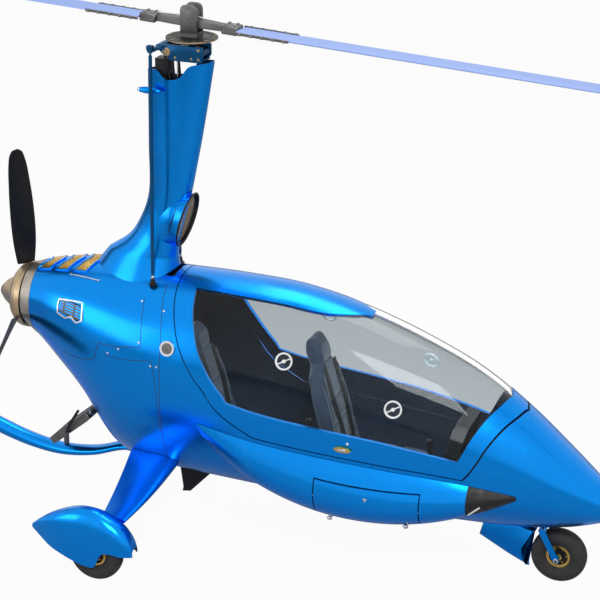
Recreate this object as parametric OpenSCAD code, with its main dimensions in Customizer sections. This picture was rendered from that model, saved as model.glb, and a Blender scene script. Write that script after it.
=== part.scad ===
// Tandem two-seat gyrocopter with an enclosed cabin, a pusher propeller and a teetering rotor.
// +X forward, +Y to port, +Z up. The origin is on the ground below the rotor axis.

/* [Overall] */
// Distance from the main axle forward to the nose axle
wheelbase = 2270; // [2200:10:2300]
// How far the main axle lies behind the rotor axis
main_axle_back = 200; // [190:5:210]
// Distance between the middles of the main wheels
track = 1752; // [1600:10:2100]
// Rotor diameter over both blade tips
rotor_diameter = 8600; // [6000:50:10000]
// Height of the teeter bolt above the ground
teeter_height = 2861; // [2855:1:2900]
// Widest half-width of the cabin
cabin_half_width = 395; // [385:1:405]

/* [Skins] */
// Wall of the fuselage and the cowl
skin = 12; // [8:1:16]
// Thickness of the canopy frame
frame_depth = 20; // [12:1:24]
// Thickness of the clear canopy
glazing = 4; // [3:0.5:6]
// Clearance all round the canopy and the pod lids
panel_gap = 6; // [5:0.5:10]
// Clearance between fixed panels that meet
joint_gap = 0.5; // [0.3:0.1:0.8]
// Wall of the pods, the mast fairing and the wheel pants
shell = 5; // [4:0.5:7]

/* [Wheels] */
// Outside diameter of every tyre
tyre_diameter = 296; // [280:2:300]
// Width of every tyre
tyre_width = 96; // [80:1:100]
// Diameter of the rim, where the tyre's bead sits
rim_diameter = 128; // [120:1:140]
// Diameter of the main and nose axles
axle_diameter = 20; // [16:1:24]
// Bore along the nose axle that takes the pin of a tow bar
tow_bore = 12; // [8:0.5:12]
// Running clearance of each wheel on its axle, on the radius
wheel_fit = 0.4; // [0.3:0.1:0.6]

/* [Nose gear] */
// Angle of the steering axis from the vertical
rake = 28; // [24:1:30]
// Distance between the middles of the fork legs
fork_spacing = 142; // [138:1:150]
// Diameter of the steering stem
stem_diameter = 30; // [24:1:34]

/* [Propeller] */
// Diameter of the three-bladed propeller
prop_diameter = 1712; // [1500:10:1800]
// Height of the propeller shaft above the ground
prop_height = 1165; // [1155:1:1175]
// Diameter of the spinner's wide rear ring
spinner_diameter = 372; // [340:1:380]
// Diameter of the propeller shaft
shaft_diameter = 60; // [40:1:70]

/* [Rotor] */
// Chord of the rotor blades
blade_chord = 150; // [140:1:220]
// Angle at which the parked blades dip forward
park_dip = 3.4; // [2:0.1:5]
// Diameter of the disc under the rotor tower
disc_diameter = 270; // [230:1:290]
// Diameter of the teeter bolt
teeter_bolt = 16; // [12:1:20]

/* [Tail] */
// Distance from the rotor axis back to the rudder hinge
rudder_hinge_back = 2500; // [2450:10:2600]
// Span of the tailplane between its end fins
tail_span = 1480; // [1300:10:1700]
// Chord of the rudder
rudder_chord = 270; // [220:5:300]

/* [Hidden] */
$fn = 48;

// ---- Colours ----
blue = [0.02, 0.42, 0.85];
navy = [0.02, 0.16, 0.36];
bronze = [0.62, 0.50, 0.36];
gold = [0.80, 0.58, 0.22];
black = [0.07, 0.07, 0.08];
grey = [0.45, 0.45, 0.46];
steel = [0.70, 0.71, 0.72];
pale_blue = [0.72, 0.76, 0.95];
upholstery = [0.16, 0.22, 0.30];
clear = [0.75, 0.85, 0.92, 0.35];

// ---- Curves through tables: rows run by their first column, and the other columns follow smoothly ----
function row_at(table, x, i = 0) =
    (i >= len(table) - 2 || x < table[i + 1][0]) ? i : row_at(table, x, i + 1);
function rise(table, i, c) = (table[i + 1][c] - table[i][c]) / (table[i + 1][0] - table[i][0]);
function tangent(table, i, c) =
    i == 0 ? rise(table, 0, c)
    : i == len(table) - 1 ? rise(table, i - 1, c)
    : (rise(table, i - 1, c) + rise(table, i, c)) / 2;
function smooth(table, x, c) =
    let (i = row_at(table, x))
    let (step = table[i + 1][0] - table[i][0])
    let (t = max(0, min(1, (x - table[i][0]) / step)))
    let (a = table[i][c], b = table[i + 1][c])
    let (m = tangent(table, i, c) * step, n = tangent(table, i + 1, c) * step)
    (2 * t ^ 3 - 3 * t ^ 2 + 1) * a + (t ^ 3 - 2 * t ^ 2 + t) * m
    + (3 * t ^ 2 - 2 * t ^ 3) * b + (t ^ 3 - t ^ 2) * n;
function mix(a, b, t) = a + (b - a) * t;
function sum(list, i = 0) = i == len(list) - 1 ? list[i] : list[i] + sum(list, i + 1);
function signed_power(v, e) = sign(v) * pow(abs(v), e);

// ---- Body sections ----
// [x, share of cabin_half_width, height of the widest line, top, bottom, roundness above, roundness below]
body_sections = [
    [-985, 0.46, 1170, 1354, 998, 2.0, 2.0],
    [-900, 0.52, 1168, 1382, 928, 2.0, 2.0],
    [-780, 0.63, 1145, 1408, 808, 2.0, 2.0],
    [-620, 0.75, 1095, 1436, 628, 2.0, 2.0],
    [-450, 0.85, 1035, 1452, 380, 2.0, 2.1],
    [-300, 0.92, 985, 1454, 322, 2.0, 2.3],
    [-80, 0.97, 950, 1457, 304, 2.0, 2.4],
    [250, 1.00, 920, 1462, 295, 2.0, 2.4],
    [600, 1.00, 880, 1448, 290, 2.0, 2.4],
    [950, 0.97, 835, 1378, 288, 2.0, 2.4],
    [1300, 0.90, 780, 1262, 288, 2.0, 2.3],
    [1600, 0.80, 715, 1128, 292, 2.0, 2.2],
    [1870, 0.65, 640, 948, 304, 2.0, 2.1],
    [2120, 0.46, 565, 742, 340, 2.0, 2.0],
    [2320, 0.24, 500, 575, 405, 2.0, 2.0],
    [2440, 0.06, 470, 489, 451, 2.0, 2.0]
];
tail_x = body_sections[0][0];
nose_x = body_sections[len(body_sections) - 1][0];

// [x, height of the shoulder line, which is the canopy's lower edge between its corners]
shoulder_line = [
    [-985, 1170], [-600, 1040], [-200, 850], [200, 760], [500, 712], [850, 688],
    [1200, 669], [1600, 644], [1870, 600], [2120, 545], [2440, 470]
];

// A section: [half-width, widest height, height above it, depth below it, roundness above, below]
function section(x, inset = 0) =
    let (mid = smooth(body_sections, x, 2))
    [
        max(1, smooth(body_sections, x, 1) * cabin_half_width - inset),
        mid,
        max(1, smooth(body_sections, x, 3) - mid - inset),
        max(1, mid - smooth(body_sections, x, 4) - inset),
        smooth(body_sections, x, 5),
        smooth(body_sections, x, 6)
    ];
// A point of the body's skin at station x and angle a: 0 starboard, 90 top, 180 port, 270 bottom
function body_point(x, a, inset = 0) =
    let (s = section(x, inset), up = sin(a) >= 0)
    let (n = up ? s[4] : s[5], reach = up ? s[2] : s[3])
    [x, -s[0] * signed_power(cos(a), 2 / n), s[1] + reach * signed_power(sin(a), 2 / n)];
// The starboard angle at which the skin is at height z
function angle_at(x, z) =
    let (s = section(x), rel = z - s[1])
    let (n = rel >= 0 ? s[4] : s[5], reach = rel >= 0 ? s[2] : s[3])
    asin(max(-1, min(1, signed_power(rel / reach, n / 2))));
// How far the starboard skin leans back from upright at angle a
function skin_lean(x, a) =
    let (run = body_point(x, a + 1) - body_point(x, a - 1))
    atan2(run[1], run[2]);
// The height of the body's upper skin above a place (x, y)
function deck_z(x, y, inset = 0) =
    let (s = section(x, inset))
    s[1] + s[2] * sqrt(max(0, 1 - pow(abs(y) / s[0], 2)));

// ---- Canopy outline ----
// [share of the way from sill to roof line, x of its rear edge, x of its front edge]
canopy_edge = [
    [0.00, 480, 1610], [0.06, 300, 1645], [0.14, 190, 1675], [0.30, 72, 1720],
    [0.50, 2, 1775], [0.75, -38, 1835], [1.00, -42, 1868]
];
// [share of the canopy's length, half-width of the roof strip as a share of the girth]
roof_strip = [[0.00, 0.115], [0.30, 0.115], [0.44, 0.100], [0.51, 0.060], [0.54, 0.030], [1.00, 0.100]];
strip_columns = 11;
window_rear_band = 105;
window_front_band = 80;
window_sill_share = 0.055;
// The clearance widens towards the nose by this share, so that the frame can tip past the skin
front_gap_share = 1.9;

function share_up(v) = 1 - abs(2 * v - 1);
function canopy_rear(v) = smooth(canopy_edge, share_up(v), 1);
function canopy_front(v) = smooth(canopy_edge, share_up(v), 2);

// ---- The grid that the fuselage and the canopy share ----
sill_rows = 1;
side_rows = 8;
strip_rows = 6;
upper_rows = 2 * sill_rows + 2 * side_rows + strip_rows;
lower_rows = 20;
deck_columns = 4;
canopy_columns = 20;
nose_columns = 8;
// Share of the way over the canopy, from the starboard sill to the port sill, at row j
function row_share(j, u) =
    let (half = smooth(roof_strip, u, 1), edge = 0.5 - half)
    j <= sill_rows ? window_sill_share * j / sill_rows
    : j <= sill_rows + side_rows ? mix(window_sill_share, edge, (j - sill_rows) / side_rows)
    : j <= sill_rows + side_rows + strip_rows
        ? mix(edge, 1 - edge, (j - sill_rows - side_rows) / strip_rows)
    : 1 - row_share(upper_rows - j, u);
// Column i of the canopy between its edges, with narrow first and last columns for the frame
function canopy_x(i, v, gap) =
    let (r = canopy_rear(v) + gap, f = canopy_front(v) - gap * mix(1, front_gap_share, share_up(v)))
    i == 0 ? r
    : i == canopy_columns ? f
    : mix(r + window_rear_band, f - window_front_band, (i - 1) / (canopy_columns - 2));
function sill_angle(x, gap) = angle_at(x, smooth(shoulder_line, x, 1) + gap);
function upper_point(x, v, gap, inset) =
    let (a = sill_angle(x, gap))
    body_point(x, mix(a, 180 - a, v), inset);
function lower_point(x, w, inset) =
    let (a = sill_angle(x, 0))
    body_point(x, mix(180 - a, 360 + a, w), inset);

// ---- Panels and lofts ----
// The kept cells of a grid of points, as one closed sheet between an outer and an inner grid.
// A ring joins its last row of points to its first. Capped ends are closed at the last column.
module panel(outer, inner, keep = function (i, j) true, ring = false, capped = false) {
    columns = len(outer);
    rows = len(outer[0]);
    cells_i = columns - 1;
    cells_j = ring ? rows : rows - 1;
    kept = function (i, j)
        let (jj = ring ? (j + rows) % rows : j)
        i >= 0 && i < cells_i && jj >= 0 && jj < cells_j && keep(i, jj);
    at = function (i, j) i * rows + (j % rows);
    in = function (i, j) columns * rows + i * rows + (j % rows);
    tops = [
        for (i = [0:cells_i - 1], j = [0:cells_j - 1]) if (kept(i, j))
            each [[at(i, j), at(i, j + 1), at(i + 1, j + 1)], [at(i, j), at(i + 1, j + 1), at(i + 1, j)]]
    ];
    backs = [
        for (i = [0:cells_i - 1], j = [0:cells_j - 1]) if (kept(i, j))
            each [[in(i, j), in(i + 1, j + 1), in(i, j + 1)], [in(i, j), in(i + 1, j), in(i + 1, j + 1)]]
    ];
    walls = [
        for (i = [0:cells_i - 1], j = [0:cells_j - 1]) if (kept(i, j))
            each concat(
                kept(i - 1, j) ? [] : wall(at(i, j + 1), at(i, j), in(i, j + 1), in(i, j)),
                kept(i + 1, j) || (capped && i == cells_i - 1) ? []
                    : wall(at(i + 1, j), at(i + 1, j + 1), in(i + 1, j), in(i + 1, j + 1)),
                kept(i, j - 1) ? [] : wall(at(i, j), at(i + 1, j), in(i, j), in(i + 1, j)),
                kept(i, j + 1) ? [] : wall(at(i + 1, j + 1), at(i, j + 1), in(i + 1, j + 1), in(i, j + 1))
            )
    ];
    ends = capped ? [
        for (j = [1:rows - 2])
            each [
                [at(cells_i, 0), at(cells_i, j), at(cells_i, j + 1)],
                [in(cells_i, 0), in(cells_i, j + 1), in(cells_i, j)]
            ]
    ] : [];
    polyhedron(points = concat(flat(outer), flat(inner)), faces = concat(tops, backs, walls, ends));
}
function flat(grid) = [for (line = grid) each line];
function wall(a, b, c, d) = [[a, b, d], [a, d, c]];

// A solid through rings of points that all hold the same number of points
module loft(rings) {
    n = len(rings[0]);
    last = len(rings) - 1;
    sides = [
        for (i = [0:last - 1], j = [0:n - 1])
            let (k = (j + 1) % n)
            each [
                [i * n + j, i * n + k, (i + 1) * n + k],
                [i * n + j, (i + 1) * n + k, (i + 1) * n + j]
            ]
    ];
    // Each end is closed across from one side of the ring to the other
    across = concat(
        [[0, 1, n - 1]],
        [for (j = [1:ceil(n / 2) - 2]) each [[j, j + 1, n - j], [j + 1, n - j - 1, n - j]]],
        n % 2 == 0 ? [[n / 2 - 1, n / 2, n / 2 + 1]] : []
    );
    ends = [
        for (t = across)
            each [[t[0], t[2], t[1]], [last * n + t[0], last * n + t[1], last * n + t[2]]]
    ];
    polyhedron(points = flat(rings), faces = concat(sides, ends));
}
module mirrored(side) {
    if (side > 0) mirror([0, 1, 0]) children();
    else children();
}

// ---- Aerofoils ----
aerofoil_steps = 10;
// Half-thickness of a symmetrical aerofoil of unit chord at share s from its nose
function foil(s, thick) =
    5 * thick * (0.2969 * sqrt(s) - 0.126 * s - 0.3516 * s ^ 2 + 0.2843 * s ^ 3 - 0.1036 * s ^ 4);
function foil_stations() = [for (k = [0:aerofoil_steps]) (1 - cos(180 * k / aerofoil_steps)) / 2];
// Outline with its nose at 0 and its tail at the chord along the first axis
function foil_outline(chord, thick) = concat(
    [for (s = foil_stations()) [chord * s, chord * foil(s, thick)]],
    [for (k = [aerofoil_steps - 1:-1:1]) let (s = foil_stations()[k]) [chord * s, -chord * foil(s, thick)]]
);

// ---- Fuselage, cowl and canopy ----
split_x = -80;
cowl_columns = 9;
hatch_front = 2190;
hatch_rear = 1880;
hatch_rows = 3;

function fuselage_grid(inset) = [
    for (i = [0:deck_columns + canopy_columns + nose_columns])
        [
            for (j = [0:upper_rows + lower_rows - 1])
                let (up = j <= upper_rows, c = i - deck_columns)
                let (u = max(0, min(1, c / canopy_columns)))
                let (v = up ? row_share(j, u) : 0)
                let (w = up ? 0 : (j - upper_rows) / lower_rows)
                let (rear = canopy_rear(v), front = canopy_front(v))
                let (x = i <= deck_columns ? mix(split_x, rear, i / deck_columns)
                    : c <= canopy_columns ? canopy_x(c, v, 0)
                    : nose_column_x(c - canopy_columns, front))
                up ? upper_point(x, v, 0, inset) : lower_point(x, w, inset)
        ]
];
// Columns ahead of the canopy: the wheel hatch's front and rear edges are two of them
function nose_column_x(k, front) =
    k == 1 ? mix(front, max(front, hatch_rear), 0.5)
    : k == 2 ? max(front + 25, hatch_rear)
    : k <= 5 ? mix(max(front + 25, hatch_rear), hatch_front, (k - 2) / 3)
    : mix(hatch_front, nose_x, pow((k - 5) / (nose_columns - 5), 0.8));

module fuselage() {
    opened = function (i, j)
        i >= deck_columns && i < deck_columns + canopy_columns && j < upper_rows;
    middle = upper_rows + lower_rows / 2;
    hatch = function (i, j)
        i >= deck_columns + canopy_columns + 2 && i < deck_columns + canopy_columns + 5
        && j >= middle - hatch_rows && j < middle + hatch_rows;
    color(blue)
        panel(
            fuselage_grid(0), fuselage_grid(skin),
            function (i, j) !opened(i, j) && !hatch(i, j), ring = true, capped = true
        );
}

// The opening in the deck that the mast post passes through
post_x = -165;
post_length = 60;
post_width = 70;
function cowl_grid(inset) = [
    for (i = [0:cowl_columns])
        [
            for (j = [0:upper_rows + lower_rows - 1])
                let (front = split_x - joint_gap)
                let (x = i < cowl_columns ? mix(tail_x, -260, i / (cowl_columns - 1)) : front)
                j <= upper_rows ? upper_point(x, row_share(j, 0), 0, inset)
                    : lower_point(x, (j - upper_rows) / lower_rows, inset)
        ]
];
module engine_cowl() {
    first = sill_rows + side_rows + 1;
    slot = function (i, j) i == cowl_columns - 1 && j >= first && j < first + strip_rows - 2;
    color(blue)
        panel(cowl_grid(0), cowl_grid(skin), function (i, j) !slot(i, j), ring = true);
}

function canopy_grid(gap, inset) = [
    for (i = [0:canopy_columns])
        [
            for (j = [0:upper_rows])
                let (v = row_share(j, i / canopy_columns))
                upper_point(canopy_x(i, v, gap), v, gap, inset)
        ]
];
function is_window(i, j) =
    i >= 1 && i < canopy_columns - 1 && j >= sill_rows && j < upper_rows - sill_rows
    && !(i < strip_columns && j >= sill_rows + side_rows && j < sill_rows + side_rows + strip_rows);
module canopy_frame() {
    color(blue)
        panel(canopy_grid(panel_gap, 0), canopy_grid(panel_gap, frame_depth), function (i, j) !is_window(i, j));
}
glazing_inset = 2;
glazing_fit = 0.7;
// The pane's grid, with every point of its edge moved in from the frame by the fit
function pane_grid(inset) =
    let (grid = canopy_grid(panel_gap, inset))
    [
        for (i = [0:canopy_columns])
            [
                for (j = [0:upper_rows])
                    let (cells = [for (a = [i - 1, i], b = [j - 1, j]) if (is_window(a, b)) cell_middle(grid, a, b)])
                    let (run = len(cells) == 0 ? [0, 0, 0] : sum(cells) / len(cells) - grid[i][j])
                    len(cells) % 4 == 0 ? grid[i][j] : grid[i][j] + run * glazing_fit / norm(run)
            ]
    ];
function cell_middle(grid, i, j) = (grid[i][j] + grid[i + 1][j] + grid[i][j + 1] + grid[i + 1][j + 1]) / 4;
module canopy_glass() {
    color(clear)
        panel(
            pane_grid(glazing_inset), pane_grid(glazing_inset + glazing),
            function (i, j) is_window(i, j)
        );
}

// ---- Hinges: an eye on the fixed side and a pin with an arm on the moving side ----
hinge_pin = 10;
hinge_eye = 22;
hinge_lug = 14;
arm_thick = 6;
arm_shift = 12.5;
web_thick = 8;
pin_fit = 0.4;
// Children are placed a share of the way from a to b, with their own Z axis along that line
module along_line(a, b, share, shift = 0) {
    run = b - a;
    translate(a + run * share)
        rotate([0, acos(run[2] / norm(run)), atan2(run[1], run[0])])
        translate([0, 0, shift])
        children();
}
// A flat web across the body at station x, through [y, z] points
module cross_web(x, thick, outline) {
    translate([x - thick / 2, 0, 0])
        rotate([90, 0, 90])
        linear_extrude(thick)
        polygon(outline);
}
module hinge_eyes(a, b, shares) {
    for (share = shares)
        difference() {
            union() {
                along_line(a, b, share, -hinge_lug / 2)
                    cylinder(d = hinge_eye, h = hinge_lug);
                at = a + (b - a) * share;
                hinge_foot = $foot;
                cross_web(at[0], web_thick, hinge_foot(at, at[0]));
            }
            along_line(a, b, share, -hinge_lug)
                cylinder(d = hinge_pin + 2 * pin_fit, h = 2 * hinge_lug);
        }
}
module hinge_pins(a, b, shares) {
    for (share = shares) {
        along_line(a, b, share, -hinge_lug)
            cylinder(d = hinge_pin, h = 2 * hinge_lug);
        at = a + (b - a) * share;
        hinge_foot = $foot;
        cross_web(at[0] + arm_shift, arm_thick, hinge_foot(at, at[0] + arm_shift));
    }
}

// ---- Canopy hinges along the port sill ----
canopy_axis_rear = [560, cabin_half_width + 55, 680];
canopy_axis_front = [1500, cabin_half_width, 620];
hinge_shares = [0.06, 0.94];
foot_height = 17;
function sill_foot(at, x, low, high) =
    let (edge = function (z) -body_point(x, angle_at(x, z), -joint_gap)[1])
    let (z0 = smooth(shoulder_line, x, 1) + low, z1 = smooth(shoulder_line, x, 1) + high)
    [
        [edge(z0), z0], [at[1] + hinge_eye * 0.3, at[2] - hinge_eye * 0.4],
        [at[1] + hinge_eye * 0.3, at[2] + hinge_eye * 0.4], [edge(z1), z1]
    ];
module canopy_hinges() {
    $foot = function (at, x) sill_foot(at, x, -foot_height - 3, -3);
    color(steel)
        hinge_eyes(canopy_axis_rear, canopy_axis_front, hinge_shares);
}
module canopy_arms() {
    $foot = function (at, x) sill_foot(at, x, panel_gap + 6, panel_gap + 6 + 2 * foot_height);
    color(steel)
        hinge_pins(canopy_axis_rear, canopy_axis_front, hinge_shares);
}

// ---- Canopy handle ----
handle_x = 985;
handle_length = 92;
handle_height = 32;
module canopy_handle() {
    a = mix(sill_angle(handle_x, panel_gap), 90, 0.05);
    at = body_point(handle_x, a, -2 * joint_gap);
    color(gold)
        translate(at)
        rotate([90 - skin_lean(handle_x, a), 0, 0])
        linear_extrude(9)
        polygon([for (t = [0:15:345]) [handle_length / 2 * cos(t), handle_height / 2 * sin(t)]]);
}

// ---- Mast ----
// [height, x of the rear edge, x of the front edge, half-width]
mast_sections = [
    [1530, -505, -104, 112], [1620, -386, -92, 88], [1740, -310, -62, 76], [1870, -266, -24, 72],
    [2150, -258, 42, 72], [2580, -252, 125, 74]
];
mast_base = [-575, -100, 165];
mast_top_rear = 2540;
mast_top_front = 2615;
mast_steps = 10;
mast_sides = 32;
scallop_x = -85;
scallop_depth = 62;
scallop_width = 75;
function mast_outline(rear, front, half, a, inset) = [
    mix(rear, front, 0.5) - ((front - rear) / 2 - inset) * cos(a),
    (half - inset) * signed_power(sin(a), 1.1) * (1 - 0.18 * cos(a))
];
function mast_top(x) =
    mix(mast_top_rear, mast_top_front, (x + 252) / 377)
    - scallop_depth * exp(-pow((x - scallop_x) / scallop_width, 4));
function mast_ring(k, inset) = [
    for (j = [0:mast_sides - 1])
        let (a = 360 * j / mast_sides)
        k == 0 ?
            let (p = mast_outline(mast_base[0], mast_base[1], mast_base[2], a, inset))
            [p[0], p[1], deck_z(p[0], p[1], -joint_gap)]
        : let (z = mix(mast_sections[0][0], mast_sections[5][0], pow((k - 1) / (mast_steps - 1), 1.5)))
            let (p = mast_outline(smooth(mast_sections, z, 1), smooth(mast_sections, z, 2),
                smooth(mast_sections, z, 3), a, inset))
            let (top = mast_top(p[0]), low = mast_sections[0][0])
            [p[0], p[1], low + (top - low) * (z - low) / (mast_sections[5][0] - low)]
];
module mast_fairing() {
    color(blue)
        panel(
            [for (k = [0:mast_steps]) mast_ring(k, 0)],
            [for (k = [0:mast_steps]) mast_ring(k, shell)], ring = true
        );
}

// The post stands on the keel and carries the rotor head
keel_top = 345;
head_base = 2608;
module mast_post() {
    color(grey)
        translate([post_x - post_length / 2, -post_width / 2, keel_top])
        cube([post_length, post_width, head_base - keel_top]);
}

// The mast's half-width at station x and height z
function mast_side(x, z) =
    let (rear = smooth(mast_sections, z, 1), front = smooth(mast_sections, z, 2))
    let (c = (rear + front - 2 * x) / (front - rear))
    mast_outline(rear, front, smooth(mast_sections, z, 3), acos(max(-1, min(1, c))), 0)[1];

// ---- Air intake: an oval mouth at the foot of the mast, faired back onto its flanks ----
intake_mouth = [-43, 1735];
intake_half_width = 116;
intake_half_height = 152;
intake_lean = 15.6;
intake_lip = 8;
intake_sides = 32;
intake_steps = 4;
// Clearance and wall where the intake meets the mast
intake_seat = 2.8;
intake_wall = 3;
function intake_ring(k, inset) = [
    for (j = [0:intake_sides - 1])
        let (a = 360 * j / intake_sides, t = k / intake_steps)
        let (rise_z = (intake_half_height - inset) * sin(a))
        let (mouth = [intake_mouth[0] + rise_z * tan(intake_lean), (intake_half_width - inset) * cos(a),
            intake_mouth[1] + rise_z])
        let (z = intake_mouth[1] + intake_half_height * 0.94 * sin(a), b = 180 - 85 * abs(cos(a)))
        let (end = mast_outline(smooth(mast_sections, z, 1), smooth(mast_sections, z, 2),
            smooth(mast_sections, z, 3), b, -intake_seat - (inset > 0 ? 0 : intake_wall)))
        mix(mouth, [end[0], end[1] * (cos(a) < 0 ? -1 : 1), z], t)
];
module air_intake() {
    color(blue)
        panel(
            [for (k = [0:intake_steps]) intake_ring(k, 0)],
            [for (k = [0:intake_steps]) intake_ring(k, intake_lip)], ring = true
        );
}

// ---- Engine, in the cowl behind the mast post ----
engine_front = -215;
engine_length = 500;
engine_width = 376;
engine_height = 330;
module engine() {
    color(grey) {
        translate([engine_front - engine_length, -engine_width / 2, prop_height - engine_height * 0.6])
            cube([engine_length, engine_width, engine_height]);
        translate([engine_front - 1, -60, prop_height - 120])
            cube([post_x - post_length / 2 - engine_front + 1, 120, 160]);
        translate([prop_back, 0, prop_height])
            rotate([0, 90, 0])
            cylinder(d = shaft_diameter, h = engine_front - engine_length - prop_back + 1);
    }
}
prop_plane = -1040;
prop_back = -1062;
prop_fit = 0.5;

// ---- Cabin floor, keel, bulkhead and seat boxes ----
floor_thick = 10;
floor_rear = -85;
floor_front = 1600;
bulkhead_x = -105;
bulkhead_thick = 12;
seat_box_height = 100;
seat_box_width = 340;
seat_box_length = 380;
front_box_x = 925;
rear_box_x = 205;
keel_width = 50;
keel_front = 1770;
keel_clear = 3.2;
keel_rear_clear = 9;
floor_clear = 14;
bulkhead_foot = 118;
keel_rear = -230;
seat_top = keel_top + floor_thick + seat_box_height;
// Outside and inside height of the belly on the centre line
function belly_outside(x) = section(x)[1] - section(x)[3];
function belly_z(x) = section(x)[1] - section(x, skin)[3];
// Inside half-width of the body at a height below its widest line
function inside_half(x, z) =
    let (s = section(x, skin), n = z >= s[1] ? s[4] : s[5], reach = z >= s[1] ? s[2] : s[3])
    s[0] * pow(max(0, 1 - pow(min(1, abs(z - s[1]) / reach), n)), 1 / n);
module cabin_floor() {
    stations = [for (x = [keel_rear:125:keel_front]) x];
    plate = [for (x = [floor_rear:105:floor_front]) x];
    color(navy) {
        rotate([90, 0, 0])
            translate([0, 0, -keel_width / 2])
            linear_extrude(keel_width)
            polygon(concat(
                [for (x = stations) [x, belly_z(x) + (x < split_x ? keel_rear_clear : keel_clear)]],
                [[keel_front, keel_top], [keel_rear, keel_top]]
            ));
        translate([0, 0, keel_top])
            linear_extrude(floor_thick)
            polygon(concat(
                [for (x = plate) [x, inside_half(x, keel_top) - floor_clear]],
                [for (k = [len(plate) - 1:-1:0]) [plate[k], floor_clear - inside_half(plate[k], keel_top)]]
            ));
        for (x = [front_box_x, rear_box_x])
            translate([x, -seat_box_width / 2, keel_top + floor_thick])
            cube([seat_box_length, seat_box_width, seat_box_height]);
        translate([bulkhead_x, 0, 0])
            rotate([90, 0, 90])
            linear_extrude(bulkhead_thick)
            polygon(concat(
                [for (a = [-40:10:220]) let (p = body_point(bulkhead_x, a, skin + 6)) [p[1], p[2]]],
                [[bulkhead_foot, keel_top], [-bulkhead_foot, keel_top]]
            ));
        steering_bracket();
    }
}

// ---- Instrument panel on its pedestal ----
panel_x = 1500;
panel_lean = 12;
module instrument_panel() {
    color(black) {
        translate([panel_x - 60, -70, keel_top + floor_thick])
            cube([110, 140, 300]);
        translate([panel_x - 40, 0, keel_top + floor_thick + 260])
            rotate([0, panel_lean, 0])
            rotate([90, 0, 90])
            linear_extrude(70)
            polygon([[-165, 0], [165, 0], [185, 60], [175, 190], [120, 250], [-120, 250], [-175, 190], [-185, 60]]);
    }
}

// ---- Seats: a cushion on the box, and a back leaning behind it ----
cushion_thick = 90;
cushion_width = 400;
back_lean = 15;
back_height = 785;
back_thick = 85;
soft_gap = 0.3;
module seat(box_x, height, length) {
    base = seat_top + soft_gap;
    color(upholstery) {
        translate([box_x + joint_gap, 0, base])
            rotate([90, 0, 0])
            translate([0, 0, -cushion_width / 2])
            linear_extrude(cushion_width)
            polygon([
                [0, 0], [length - 30, 0], [length, 25], [length, cushion_thick - 10],
                [length - 35, cushion_thick + 8], [length * 0.5, cushion_thick - 12], [0, cushion_thick - 6]
            ]);
        translate([box_x, 0, base + 8])
            rotate([0, -back_lean, 0])
            translate([-back_thick, 0, 0])
            rotate([90, 0, 90])
            linear_extrude(back_thick)
            polygon([
                [-185, 0], [185, 0], [200, 120], [195, height * 0.55], [165, height * 0.76],
                [105, height * 0.82], [95, height * 0.95], [65, height], [-65, height], [-95, height * 0.95],
                [-105, height * 0.82], [-165, height * 0.76], [-195, height * 0.55], [-200, 120]
            ]);
    }
}
module front_seat() seat(front_box_x, back_height, 400);
module rear_seat() seat(rear_box_x, back_height * 0.93, 400);

// ---- Fuel filler on the starboard side ----
filler_x = -8;
filler_z = 1137;
filler_diameter = 82;
module fuel_filler() {
    a = angle_at(filler_x, filler_z);
    at = body_point(filler_x, a, -joint_gap);
    color(steel)
        translate(at)
        rotate([90 - skin_lean(filler_x, a), 0, 0])
        difference() {
            cylinder(d = filler_diameter, h = 10);
            translate([0, 0, 7])
                cylinder(d = filler_diameter - 22, h = 10);
        }
}

// ---- Pods along the lower flanks ----
pod_depth = 122;
pod_lid_rear = 840;
pod_lid_front = 1410;
pod_cap_x = 1640;
pod_front = 1880;
pod_rear = 165;
pod_rows = 14;
lid_first = 2;
lid_last = 8;
pod_edge = 2.2;
pod_seat = 2;
// [x, share of pod_depth]
pod_length_curve = [
    [165, 0], [300, 0.22], [500, 0.56], [800, 0.90], [1050, 1.0], [1300, 0.93], [1550, 0.66], [1750, 0.32], [1880, 0.02]
];
// [share of the way down the flank, share of the bulge]
pod_girth_curve = [[0, 0], [0.12, 0.42], [0.26, 0.84], [0.42, 1.0], [0.62, 0.86], [0.82, 0.40], [1, 0]];
// [x, angle of the pod's lower edge]
pod_low_edge = [
    [165, -16], [400, -44], [700, -64], [1050, -70], [1400, -60], [1640, -42], [1880, -14]
];
pod_top_drop = 22;
function pod_bulge(x, q) = pod_depth * smooth(pod_length_curve, x, 1) * smooth(pod_girth_curve, q, 1);
function pod_point(x, q, depth) =
    body_point(
        x, mix(sill_angle(x, -pod_top_drop), smooth(pod_low_edge, x, 1), q),
        -max(pod_seat, pod_bulge(x, q) + pod_edge - depth)
    );
function pod_xs() = concat(
    [for (k = [0:6]) mix(pod_rear, pod_lid_rear, k / 7)],
    [for (k = [0:4]) mix(pod_lid_rear, pod_lid_front, k / 5)],
    [for (k = [0:3]) mix(pod_lid_front, pod_cap_x, k / 3)]
);
function pod_grid(xs, q0, q1, rows, depth) =
    [for (x = xs) [for (j = [rows:-1:0]) pod_point(x, mix(q0, q1, j / rows), depth)]];
module pod(side) {
    xs = pod_xs();
    lid = function (i, j) i >= 7 && i < 12 && j >= pod_rows - lid_last && j < pod_rows - lid_first;
    color(blue)
        mirrored(side)
        panel(
            pod_grid(xs, 0, 1, pod_rows, 0), pod_grid(xs, 0, 1, pod_rows, shell),
            function (i, j) !lid(i, j)
        );
}
pod_girth = 430;
module pod_lid(side) {
    dq = panel_gap / pod_girth;
    xs = [for (k = [0:5]) mix(pod_lid_rear + panel_gap, pod_lid_front - panel_gap, k / 5)];
    q0 = lid_first / pod_rows + dq;
    q1 = lid_last / pod_rows - dq;
    rows = lid_last - lid_first;
    color(blue)
        mirrored(side)
        panel(pod_grid(xs, q0, q1, rows, 0), pod_grid(xs, q0, q1, rows, shell));
}
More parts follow.
